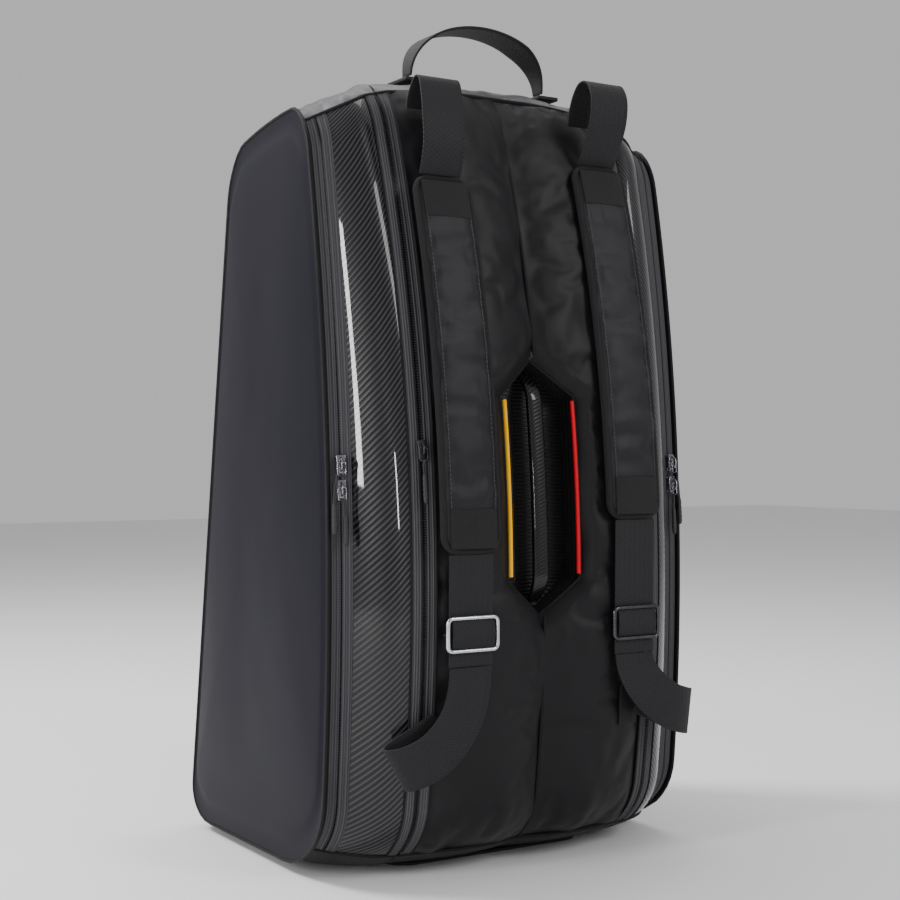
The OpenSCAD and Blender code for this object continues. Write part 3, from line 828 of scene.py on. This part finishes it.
def hex_walk(t):
    """Point at share t of the way round the recess's edge, as (x, z)."""
    lengths = [math.dist(a, b) for a, b in zip(hex_corners, hex_corners[1:] + hex_corners[:1])]
    at = (t % 1.0) * sum(lengths)
    for i, length in enumerate(lengths):
        if at <= length:
            a, b = hex_corners[i], hex_corners[(i + 1) % 6]
            return mix(a[0], b[0], at / length), mix(a[1], b[1], at / length)
        at -= length
    return hex_corners[0]


def rim_place(u, v):
    x, z = hex_walk(u)
    top = front(max(abs(x), 0.2 * MM), z) + edge_roll(x, z) + 1.2 * MM
    rib = 0.7 * MM * abs(math.sin(math.pi * z / rib_pitch))
    shrink = 1 - 0.02 * v
    middle_z = (hex_low + hex_high) / 2
    return Vector((x * shrink - math.copysign(rib, x) * (v > 0), mix(top, recess_y(z, recess_depth), v),
                   mix(middle_z, z, shrink)))


rim = cloth_panel("recess_wall", 260, 8, rim_place, (0, 0, 1), 0.0)
put(rim, "root", "ribbed_fabric", None, "recess_rim")
rim_path = [Vector((x, front(max(abs(x), 0.2 * MM), z) + edge_roll(x, z) - 0.4 * MM, z))
            for x, z in (hex_walk(i / 180) for i in range(180))]
put(cord_tube("recess_binding", rim_path, 1.7 * MM, True), "root", "piping_black")

trim_x = 38.4 * MM
for name, sign in (("yellow_piping", -1), ("red_piping", 1)):
    box_low, box_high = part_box(name)
    path = [Vector((sign * trim_x, recess_y(z, -0.6 * MM), z))
            for z in straight(box_low.z, box_high.z, 40)]
    trim = "yellow_trim" if sign < 0 else "red_trim"
    put(cord_tube(name + "_cord", path, 2.0 * MM), "root", trim, None, name)


# %% Grip
grip_low, grip_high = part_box("centre_grip")[0].z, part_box("centre_grip")[1].z
grip_w, grip_t, grip_stand = 17 * MM, 8 * MM, 19 * MM


def grip_middle(v):
    z = mix(grip_low, grip_high, v)
    lift = math.sin(math.pi / 2 * min(1, min(v, 1 - v) / 0.12))
    return Vector((0, recess_y(z, recess_depth - grip_t / 2 - (grip_stand - grip_t / 2) * lift), z))


def rounded(u, half_a, half_b, power=2.6):
    """A point on a rounded oblong, as two distances."""
    angle = TURN * u
    c, s = math.cos(angle), math.sin(angle)
    return tuple(half * math.copysign(abs(t) ** (2 / power), t) for half, t in ((half_a, c), (half_b, s)))


def grip_place(u, v):
    a, b = rounded(u, grip_w / 2, grip_t / 2)
    end = min(1.0, 14 * v, 14 * (1 - v)) ** 0.4 if 0 < v < 1 else 0.0
    return grip_middle(v) + Vector((a * (0.6 + 0.4 * end) * (end > 0), b * end, 0))


grip = cloth_panel("recess_grip", 32, 90, grip_place)
put(grip, "root", "grip_laminate", None, "centre_grip")
strip_x = -31 * MM
strip_path = [Vector((strip_x, recess_y(z, 3 * MM), z))
              for z in straight(hex_low + hex_point, hex_high - hex_point, 30)]
strip = band("recess_strip", strip_path, (0.8, 0.6, 0), 9 * MM, 1.2 * MM)
put(strip, "root", "grip_laminate")
print("recess and grip made")

# %% [markdown]
# ## Caps, far face and base
# The caps are thin satin cloth with nothing stiff behind it, so they crumple. The far face is a
# plain padded panel. The stiff base carries the bag.

# %% Caps and far face
centre_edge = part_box("centre_top_cap")[1].x
cap_folds = wrinkles(2.6 * MM, 26 * MM, (1.4, 0.8, 1), 5.0)
cap = shell_panel("centre_cap_cloth", -centre_edge, centre_edge, 1, -1, 1, 80, 70, cap_folds)
put(cap, "root", "cap_fabric", None, "centre_top_cap")
under = shell_panel("centre_base_cloth", -centre_edge, centre_edge, 3, -1, 1, 60, 60)
put(under, "root", "base_fabric", None, "centre_bottom_cap")
far_folds = wrinkles(1.6 * MM, 50 * MM, (1, 1, 2), 2.0)
back = shell_panel("far_face_cloth", -centre_edge, centre_edge, 2, -1, 1, 60, 110, far_folds)
put(back, "root", "lobe_fabric", None, "far_panel")


def bindings(name, x0, x1, steps):
    """Bound seams from x0 to x1 where the front and the far face meet the caps."""
    return join(name, [
        cord_tube("edge", [skin(x, k, f) for x in straight(x0, x1, steps)], 1.9 * MM)
        for k, f in ((0, 1), (2, -1), (2, 1), (0, -1))])


put(bindings("centre_bindings", -centre_edge, centre_edge, 60), "root", "piping_black")


# %% Base
bm = bmesh.new()
base_low, base_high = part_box("base_panel")
bmesh.ops.create_cube(bm, size=1.0)
base_size = base_high - base_low
for vert in bm.verts:
    vert.co = (base_low + base_high) / 2 + Vector([a * b for a, b in zip(vert.co, base_size)])
upright = [edge for edge in bm.edges if abs(edge.verts[0].co.z - edge.verts[1].co.z) > wall / 2]
bmesh.ops.bevel(
    bm, geom=upright, offset=24 * MM, segments=12, profile=0.5, affect="EDGES", material=-1)
uv = bm.loops.layers.uv.new("UVMap")
for face in bm.faces:
    for loop in face.loops:
        loop[uv].uv = loop.vert.co.xy
base = new_piece("base_board", bm)
soften(base, 0.7 * MM)
put(base, "root", "base_fabric", None, "base_panel")


# %% Inner sheets
def flat_sheet(name, x, thickness, cut=None):
    """A sheet across the bag at distance x, filling its outline."""
    edge = outline(x, 4.4 * MM, 40, 20)
    hub = sum(edge, Vector()) / len(edge)

    def place(u, v):
        point = hub.lerp(round_ring(edge, u), v)
        if cut and hex_low - 2 * MM < point.z < hex_high + 2 * MM:
            point.y = max(point.y, cut)
        return point

    piece = cloth_panel(name, 120, 10, place, (1, 0, 0), uv_of=lambda p: (p.y, p.z))
    return thicken(piece, thickness, 0.0)


put(flat_sheet("divider_sheet", 0.0, 2 * MM, -119 * MM), "root", "lining", None, "centre_divider")
print("caps, base and divider made")

# %% [markdown]
# ## Racket compartments
# Each side has a narrow shell that opens from the centre at the second zip, and a lid that opens
# from that shell at the first. The glossy strip between the zips is stiff, so it stays smooth.

# %% Compartment shells
comp_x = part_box("right_zip2_outer_tape")[0].x
comp_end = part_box("right_zip1_inner_tape")[1].x
cap_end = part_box("right_top_cap")[1].x
for side, sign in SIDES.items():
    body = side + "_compartment"
    laminate = shell_panel(
        side + "_twill_panel", sign * zip2_out, sign * zip1_in, 0, -1, 1, 20, 120, puff=1.5 * MM)
    put(laminate, body, "carbon_laminate", None, side + "_carbon_panel")
    crumple = wrinkles(2.2 * MM, 20 * MM, (0.8, 1, 1), 9.0 + sign)
    cap = shell_panel(side + "_cap_cloth", sign * comp_x, sign * cap_end, 1, -1, 1, 36, 70, crumple)
    put(cap, body, "cap_fabric", None, side + "_top_cap")
    under = shell_panel(side + "_base_cloth", sign * comp_x, sign * cap_end, 3, -1, 1, 30, 50)
    put(under, body, "base_fabric", None, side + "_bottom_cap")
    gusset = shell_panel(
        side + "_far_gusset_cloth", sign * comp_x, sign * cap_end, 2, -1, 1, 24, 110,
        wrinkles(1.4 * MM, 40 * MM, (1, 1, 2), 7.0 + sign))
    put(gusset, body, "lobe_fabric", None, side + "_far_gusset")
    sheet = flat_sheet(side + "_partition_sheet", sign * (comp_x + 1.4 * MM), 2 * MM)
    put(sheet, body, "lining", None, side + "_partition")
    put(bindings(side + "_cap_bindings", sign * comp_x, sign * cap_end, 20), body, "piping_black")
print("compartments made")

# %% [markdown]
# ## Lids
# A lid is a stiffened, padded panel. Its crown is highest in the middle and the cloth dips just
# inside the piping, where it is sewn down.

# %% Lids
lid_crown = 7 * MM
side_t = 3 * MM
lid_edge = half_w - 0.01 * MM
rim_out, pipe_out, hub_drop = 1.3 * MM, 2.1 * MM, 14 * MM
dip_depth, dip_at, dip_width = 1.6 * MM, 0.965, 0.02
for side, sign in SIDES.items():
    edge = outline(lid_edge, -rim_out, 60, 34)
    hub = Vector((half_w, (front(half_w, half_h) + far(half_h)) / 2, half_h - hub_drop))

    def place(u, v, sign=sign):
        point = hub.lerp(round_ring(edge, u), v)
        dip = dip_depth * math.exp(-((v - dip_at) / dip_width) ** 2)
        point.x = sign * (lid_x + side_t + lid_crown * (1 - v ** 3) - dip)
        return point

    soft = wrinkles(1.5 * MM, 90 * MM, (1, 1, 1.6), 4.0 + sign)

    def lid_folds(point, soft=soft):
        """Folds that fade towards the lid's sewn edge."""
        height = abs(point.x) - lid_x - side_t
        return soft(point) * max(0.0, min(1.0, (height - lid_crown * 0.15) / lid_crown))

    lid = cloth_panel(
        side + "_lid_cloth", 200, 50, place, (sign, 0, 0), uv_of=lambda p: (p.y, p.z), folds=lid_folds)
    thicken(lid, side_t)
    put(lid, side + "_lid", "side_fabric", None, side + "_side_panel")
    pipe = outline(lid_edge, -pipe_out, 60, 34)
    for point in pipe:
        point.x = sign * (lid_x + 2 * MM)
    put(cord_tube(side + "_lid_piping", pipe, 2.0 * MM, True), side + "_lid", "piping_black", None,
        side + "_side_piping")
print("lids made")

# %% [markdown]
# ## Zips
# A zip is two woven tapes with a row of teeth on each facing edge. The tapes' ribs are modelled, as
# they catch the light. Each tooth is a small block, because there are hundreds of them.

# %% Tapes and teeth
def tape(name, x0, x1, ribs, rib_height, f_end):
    """A zip tape from x0 to x1 down the front of the bag, with raised ribs along it."""
    def place(u, v):
        point = skin(mix(x0, x1, u), 0, mix(-f_end, f_end, v))
        point.y -= rib_height * abs(math.sin(math.pi * ribs * u)) ** 0.6
        return point

    return cloth_panel(name, ribs * 6, 130, place, OUT[0], 1.8 * MM)


def to_front(point):
    return Vector((0, -1, 0))


def teeth(name, x, side_of_tape, depth):
    """The teeth on a tape's edge at x, set back by depth."""
    path = [skin(x, 0, mix(-0.99, 0.99, i / 160)) + Vector((side_of_tape * 0.5 * MM, depth, 0))
            for i in range(161)]
    return stitches(name, path, to_front, 2.4 * MM, 1.5 * MM, 2.2 * MM)


zip1_teeth_depth, zip2_teeth_depth = 0.9 * MM, -0.2 * MM
zip2_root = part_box("right_zip2_inner_tape")[1].x
lid_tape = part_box("right_zip1_outer_tape")[0].x
for side, sign in SIDES.items():
    inner_body, outer_body, lid_body = "root", side + "_compartment", side + "_lid"
    for name, x0, x1, ribs, rib_height, f_end, body in (
            ("_zip2_inner", zip2_in, zip2_root, 2, 0.9 * MM, 1.0, inner_body),
            ("_zip2_outer", comp_x, zip2_out, 1, 1.2 * MM, 1.0, outer_body),
            ("_zip1_inner", zip1_in, comp_end, 2, 0.7 * MM, 1.0, outer_body),
            ("_zip1_outer", lid_tape, half_w, 2, 0.7 * MM, 0.996, lid_body)):
        woven = tape(side + name, sign * x0, sign * x1, ribs, rib_height, f_end)
        put(woven, body, "zip_tape", None, side + name + "_tape")
    for name, x, way, body in (
            ("zip2_inner_teeth", zip2_root, -1, inner_body), ("zip2_outer_teeth", comp_x, 1, outer_body),
            ("zip1_inner_teeth", comp_end, -1, outer_body), ("zip1_outer_teeth", lid_tape, 1, lid_body)):
        depth = zip1_teeth_depth if "zip1" in name else zip2_teeth_depth
        put(teeth(side + "_" + name, sign * x, sign * way, depth), body, "zip_teeth", "zip_tape")
    for name, x, body in (
            ("lobe_piping", zip2_in, inner_body), ("twill_near_piping", zip2_out, outer_body)):
        run = seam_run(sign * x, 0, -1, 1, 0.5 * MM, 110)
        put(cord_tube(side + "_" + name, run, 1.0 * MM), body, "piping_black")
print("zips made")

# %% [markdown]
# ## Sliders and pulls
# A slider is cast, so all its edges are round. A cord loop hangs from its bridge and carries a
# moulded grip. They are made upright at the origin, then set on the zip by one matrix.

# %% Slider and pull makers
upper_z, lower_z, zip2_slider_z = 0.379, 0.357, 0.392
grip_r, grip_l = 2.6 * MM, 28 * MM
ring_end = -9.6 * MM


def on_zip(x, z, sign):
    """The matrix that sets an upright fitting on the zip at distance x and height z."""
    lean = math.asin((z - full_z) / section(section_bow, x))
    slope = math.atan2(front(x + 3 * MM, z) - front(x - 3 * MM, z), 6 * MM)
    place = Matrix.Translation((x, front(x, z), z)) @ Matrix.Rotation(-lean, 4, "X")
    return Matrix.Diagonal((sign, 1, 1, 1)) @ place @ Matrix.Rotation(slope, 4, "Z")


def settle(piece, matrix):
    """Moves a piece's mesh by a matrix, and turns its faces outward again if it was mirrored."""
    piece.data.transform(matrix)
    if matrix.determinant() < 0:
        piece.data.flip_normals()
    return piece


def block(name, size, centre, taper=1.0, round_edge=0.8 * MM):
    """A cast block with round edges, narrower at its lower end by taper."""
    bm = bmesh.new()
    bmesh.ops.create_cube(bm, size=1.0)
    for vert in bm.verts:
        narrow = taper if vert.co.z < 0 else 1.0
        x, y, z = (c * length for c, length in zip(vert.co, size))
        vert.co = Vector((x * narrow, y, z)) + Vector(centre)
    bmesh.ops.bevel(
        bm, geom=list(bm.edges), offset=round_edge, segments=3, profile=0.5, affect="EDGES",
        material=-1, clamp_overlap=True)
    return new_piece(name, bm, True, 60)


def arc(centre, radius_a, radius_b, start, end, steps=14):
    """Points of an elliptic arc in the Y-Z plane, from start to end in degrees."""
    turns = [math.radians(mix(start, end, i / steps)) for i in range(steps + 1)]
    return [Vector(centre) + Vector((0, -radius_a * math.cos(t), radius_b * math.sin(t))) for t in turns]


def slider(name):
    """A zip slider: shield, two side walls, and the bridge that holds the pull."""
    shield = block("shield", (9 * MM, 1.8 * MM, 17 * MM), (0, -4.6 * MM, 0), 0.72, 0.8 * MM)
    base_plate = block("plate", (8.4 * MM, 1.4 * MM, 16 * MM), (0, -1.3 * MM, 0), 0.72, 0.6 * MM)
    wall_size = (1.4 * MM, 3.4 * MM, 12 * MM)
    walls = [block("wall", wall_size, (way * 3.4 * MM, -2.9 * MM, 0.6 * MM), 1.0, 0.5 * MM)
             for way in (-1, 1)]
    bridge = cord_tube("bridge", arc((0, -5.2 * MM, 0), 5.0 * MM, 5.6 * MM, -90, 90), 1.1 * MM)
    return join(name, [shield, base_plate, *walls, bridge])


def round_corners(half_a, half_b, corner, steps, middle=0.0):
    """Places (a, b) round an oblong with round corners. Its b runs about middle."""
    points = []
    for quarter, (a, b) in enumerate(((1, 1), (-1, 1), (-1, -1), (1, -1))):
        for i in range(steps + 1):
            turn = math.radians(90 * quarter + 90 * i / steps)
            points.append((
                a * (half_a - corner) + corner * math.cos(turn),
                middle + b * (half_b - corner) + corner * math.sin(turn)))
    return points


def oblong(centre, half_a, half_b, corner):
    """A closed loop with round corners in the X-Z plane."""
    return [Vector(centre) + Vector((x, 0, z)) for x, z in round_corners(half_a, half_b, corner, 6)]


def pull(name, shift, cord_length):
    """A ring through the bridge, a doubled cord and a ridged rubber grip, set beside the slider."""
    at = Vector((0, -8 * MM, 0))
    loop = oblong(at + Vector((0, 0, -4.2 * MM)), 3.7 * MM, 6.0 * MM, 2.2 * MM)
    ring = cord_tube("ring", loop, 0.8 * MM, True)
    top = at + Vector((shift * 0.6, 0, -10.0 * MM))
    low = at + Vector((shift, 0, -10.6 * MM - cord_length))
    strands = []
    for way in (-1, 1):
        path = [top + Vector((0, way * 0.3 * MM, 0.4 * MM)),
                top.lerp(low, 0.4) + Vector((way * 0.8 * MM, 0, 0)),
                low + Vector((way * 0.6 * MM, 0, -1 * MM))]
        strands.append(cord_tube("strand", smooth_path(path, 6), 0.75 * MM))
    half_knot = Vector((1.6 * MM, 0.6 * MM, 0))
    knot = cord_tube("knot", [top - half_knot, top + half_knot], 1.0 * MM)

    def grip_place(u, v):
        angle = TURN * u
        end = math.sqrt(max(0.0, 1 - abs(2 * v - 1) ** 7))
        ridge = 1 + 0.07 * math.sin(TURN * 6 * v) * (0.15 < v < 0.85)
        radius = grip_r * end * ridge * (0.82 + 0.18 * v)
        return low + Vector((radius * math.cos(angle), 0.8 * radius * math.sin(angle), -grip_l * v))

    rubber = cloth_panel("rubber", 16, 60, grip_place)
    return join(name, [ring, knot, *strands, rubber])


def two_finishes(piece, first, second, below):
    """Gives faces above a height in the piece's own frame the first finish, and the rest the second."""
    piece.data.materials.clear()
    piece.data.materials.append(FINISHES[first])
    piece.data.materials.append(FINISHES[second])
    for polygon in piece.data.polygons:
        polygon.material_index = 0 if polygon.center.z > below else 1


# %% Place them
slider_places = {
    "zip1_upper": (zip1_mid, upper_z, 7.6 * MM, 24 * MM),
    "zip1_lower": (zip1_mid, lower_z, -2.6 * MM, 12 * MM),
    "zip2": (zip2_mid, zip2_slider_z, 0.0, 10 * MM),
}
for side, sign in SIDES.items():
    for zip_name, (x, z, shift, cord_length) in slider_places.items():
        matrix = on_zip(x, z, sign)
        finish = "slider_dark" if zip_name == "zip2" else "slider_metal"
        node = f"{side}_{zip_name}_slider"
        cast = settle(slider(node + "_cast"), matrix)
        put(cast, node, finish, None, node)
        pull_node = f"{side}_{zip_name}_pull"
        hanging = pull(pull_node + "_cord", shift, cord_length)
        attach(hanging, pull_node)
        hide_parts(pull_node)
        two_finishes(hanging, finish, "pull_rubber", ring_end)
        settle(hanging, matrix)
print("sliders and pulls made")

# %% [markdown]
# ## Shoulder straps
# A pad is foam between two cloths, closed by a bound and stitched edge, with a rough patch at each
# end. The webbing is a flat woven band that keeps its width, so it is laid along a path.

# %% Measures of the straps
strap_x = 92 * MM
pad_w, pad_t, pad_gap = 62 * MM, 13 * MM, 5.5 * MM
pad_step, pad_corner = 6 * MM, 15 * MM
patch_h, patch_edge = 42 * MM, 7 * MM
web_w, web_t = 46 * MM, 2 * MM


def pad_y(z):
    return front(strap_x, z) - pad_gap - pad_t / 2


def pad_outline(pad_low, pad_high, inset):
    """Evenly placed points round a pad, so the corners are as smooth as the long sides."""
    half, tall = pad_w / 2 - inset, (pad_high - pad_low) / 2 - inset
    points = round_corners(half, tall, pad_corner - inset * 0.6, 9, (pad_low + pad_high) / 2)
    out = []
    for (ax, az), (bx, bz) in zip(points, points[1:] + points[:1]):
        steps = max(1, int(math.hypot(bx - ax, bz - az) / pad_step))
        out += [(mix(ax, bx, i / steps), mix(az, bz, i / steps)) for i in range(steps)]
    return out


# %% Pads
for side, sign in SIDES.items():
    pad_low, pad_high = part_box(side + "_strap_pad")[0].z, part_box(side + "_strap_pad")[1].z
    rim_points = pad_outline(pad_low, pad_high, 2.5 * MM)
    count = len(rim_points)

    def pad_place(u, v, sign=sign):
        at = u * count
        i, part = int(at) % count, at - int(at)
        x, z = (mix(a, b, part) for a, b in zip(rim_points[i], rim_points[(i + 1) % count]))
        share = abs(2 * v - 1)
        spine_z = max(pad_low + pad_w / 2, min(pad_high - pad_w / 2, z))
        x = x * (1 - share)
        z = mix(z, spine_z, share)
        puff = pad_t / 2 * (1 - (1 - share) ** 3.2) ** 0.5
        way = -1 if v > 0.5 else 1
        return Vector((sign * strap_x + sign * x, pad_y(z) + way * puff, z))

    crease = wrinkles(1.7 * MM, 22 * MM, (3.4, 1, 0.7), 11.0 + sign)

    def from_patch(point):
        """Height between the patches: below zero under a patch."""
        return min(point.z - (pad_low + patch_h), pad_high - patch_h - point.z)

    def pad_folds(point):
        return crease(point) * max(0.25, min(1.0, from_patch(point) / (12 * MM)))

    def pad_sewn(point):
        return abs(abs(point.x) - strap_x) > pad_w / 2 - patch_edge or from_patch(point) < 0

    pad = cloth_panel(side + "_pad_cloth", count, 36, pad_place, folds=pad_folds)
    relax(pad, pad_sewn, 0.018, 1.1 * MM)
    put(pad, side + "_strap", "pad_fabric", None, side + "_strap_pad")

    def pad_ring(inset, lift, sign=sign):
        """The pad's outline, inset from its edge and lifted towards its front."""
        return [Vector((sign * (strap_x + x), pad_y(z) - lift, z))
                for x, z in pad_outline(pad_low, pad_high, inset)]

    edge = cord_tube(side + "_pad_binding", pad_ring(3.2 * MM, 0), 3.6 * MM, True)
    put(edge, side + "_strap", "binding", "pad_fabric")
    row = pad_ring(8.0 * MM, pad_t / 2 * 0.86)
    seam = stitches(side + "_pad_stitches", row + row[:1], to_front, 4 * MM, 2.7 * MM, 0.7 * MM)
    put(seam, side + "_strap", "stitch", "pad_fabric")
    for name, z0, z1 in (
            ("lower", pad_low + 5 * MM, pad_low + 40 * MM),
            ("upper", pad_high - 38 * MM, pad_high - 5 * MM)):
        def patch_place(u, v, sign=sign, z0=z0, z1=z1):
            z = mix(z0, z1, v)
            x = mix(-1, 1, u) * (pad_w / 2 - patch_edge)
            crown = (1 - abs(2 * u - 1) ** 4) * 1.0 * MM
            return Vector((sign * strap_x + x, pad_y(z) - pad_t / 2 * 0.98 - crown, z))
        patch = cloth_panel(f"{side}_pad_{name}_patch", 18, 14, patch_place, OUT[0], 1.2 * MM)
        put(patch, side + "_strap", "rough_patch", "pad_fabric")
print("pads made")

# %% Webbing
loops = {
    "left": [(-137, 670), (-135, 700), (-132, 720), (-128, 731),
             (-121, 733), (-114, 726), (-108, 716), (-106, 707)],
    "right": [(-132, 688), (-142, 710), (-144, 732), (-136, 747),
              (-124, 748), (-114, 737), (-108, 722), (-106, 710)],
}
lower_top = 199.6
route = [(92, 0, lower_top), (94, -1, 186), (101, -4, 170), (114, -6, 155), (131, -6, 143), (149, -3, 136),
         (162, 3, 133), (163, 12, 133), (152, 17, 137), (137, 15, 144), (122, 12, 151), (109, 9.5, 157)]
route_turns = [0, 10, 26, 43, 60, 70, 76, 76, 70, 64, 60, 56]
fall = {"left": 1.28, "right": 0.92}
adjuster_low = 0.200
band_w = web_w - 2 * MM
anchor_x, anchor_z = 96 * MM, 0.150
strap_y = pad_y(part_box("left_strap_pad")[0].z)


def hang(z):
    """Y of the adjuster webbing, which leans a little, at height z."""
    return strap_y + (0.3 - z) * 0.01


for side, sign in SIDES.items():
    pad_low, pad_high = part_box(side + "_strap_pad")[0].z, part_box(side + "_strap_pad")[1].z
    zs = straight(adjuster_low, pad_low - 0.3 * MM, 16)
    path = [Vector((sign * strap_x, hang(z), z)) for z in zs]
    adjuster = band(side + "_adjuster_band", path, (1, 0, 0), web_w, web_t)
    put(adjuster, side + "_strap", "strap_webbing", None, side + "_adjuster_webbing")
    start = [(pad_y(pad_high) / MM, pad_high / MM + 1)]
    path = smooth_path([Vector((sign * strap_x, y * MM, z * MM)) for y, z in start + loops[side]], 5)
    upper = band(side + "_upper_band", path, (1, 0, 0), band_w, web_t)
    put(upper, "root", "strap_webbing", None, side + "_upper_webbing")
    lower_y = strap_y + 1 * MM
    fallen = [(x, y, lower_top - (lower_top - z) * fall[side]) for x, y, z in route]
    fine = smooth_path([Vector((sign * x * MM, lower_y + y * MM, z * MM)) for x, y, z in fallen], 5)
    flatter = [Vector((turn / fall[side], 0, 0)) for turn in route_turns]
    turns = [math.radians(turn.x) for turn in smooth_path(flatter, 5)]
    cross = [Vector((sign * math.cos(t), 0, math.sin(t))) for t in turns]
    lower = band(side + "_lower_band", fine, cross, band_w, web_t)
    put(lower, "root", "strap_webbing", None, side + "_lower_webbing")
    tab = block(side + "_anchor_band", (26 * MM, 3 * MM, 40 * MM), (0, -1.7 * MM, 0), 1.0, 0.8 * MM)
    settle(tab, on_zip(anchor_x, anchor_z, sign))
    put(tab, "root", "strap_webbing", None, side + "_anchor_tab")


# %% Buckles
buckle_z, buckle_w, buckle_h = 0.229, 56 * MM, 34 * MM
buckle_y = hang(buckle_z)
for side, sign in SIDES.items():
    wire = 2.0 * MM
    front_y = buckle_y - web_t / 2 - 0.5 * MM - wire
    loop = oblong((strap_x, front_y, buckle_z), buckle_w / 2 - wire, buckle_h / 2 - wire, 5 * MM)
    for point in loop:
        inward = 1 - ((point.x - strap_x) / (buckle_w / 2)) ** 2
        point.z += math.copysign(1.2 * MM, buckle_z - point.z) * inward
    frame_ring = cord_tube("ring", loop, wire, True, 4)
    rod_y = buckle_y + web_t / 2 + 0.5 * MM + 1.3 * MM
    post = buckle_w / 2 - wire
    ends = [(-post, front_y), (-post, rod_y), (post, rod_y), (post, front_y)]
    rod = cord_tube("rod", [Vector((strap_x + x, y, buckle_z)) for x, y in ends], 1.3 * MM)
    buckle = settle(join(side + "_buckle_wire", [frame_ring, rod]), Matrix.Diagonal((sign, 1, 1, 1)))
    # Painted light: the left buckle takes the brightly painted copy of the metal, the right one the painted
    # shade copy.
    put(buckle, side + "_buckle", "buckle_metal" if side == "left" else "buckle_dark", "buckle_metal",
        side + "_buckle")
    bulge = [Vector((sign * strap_x, front_y + 2.2 * MM - 4.2 * MM * math.sin(math.pi * i / 12) ** 0.7,
                     buckle_z - 14 * MM + 28 * MM * i / 12)) for i in range(13)]
    threaded = band(side + "_threaded_webbing", bulge, (1, 0, 0), band_w, web_t)
    put(threaded, side + "_buckle", "strap_webbing")
print("webbing and buckles made")

# %% [markdown]
# ## Top handle
# The handle is one length of webbing whose ends are folded narrow and sewn to two patches.

# %% Handle
handle_y, handle_half, handle_rise, handle_w = -45 * MM, 77 * MM, 53 * MM, 38 * MM
foot_z = 0.7528
turns = [math.radians(mix(-90, 90, i / 48)) for i in range(49)]
path = [Vector((handle_half * math.sin(a) * (1 - 0.06 * math.cos(a)), handle_y,
                foot_z + handle_rise * max(0.0, math.cos(a)) ** 0.75)) for a in turns]
widths = [handle_w * mix(0.4, 1, min(1, max(0.0, math.cos(a)) / 0.7)) for a in turns]
strap = band("handle_band", path, (0, 1, 0), widths, web_t + 0.4 * MM)
put(strap, "top_handle", "handle_webbing", None, "top_handle")
tabs = []
tab_low, tab_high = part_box("handle_tabs")
for sign in (-1, 1):
    place = (sign * handle_half, handle_y, (tab_low.z + tab_high.z) / 2)
    tabs.append(block("tab", (24 * MM, 38 * MM, 4 * MM), place, 1.0, 1 * MM))
put(join("handle_patches", tabs), "root", "handle_webbing", None, "handle_tabs")
print("handle made")
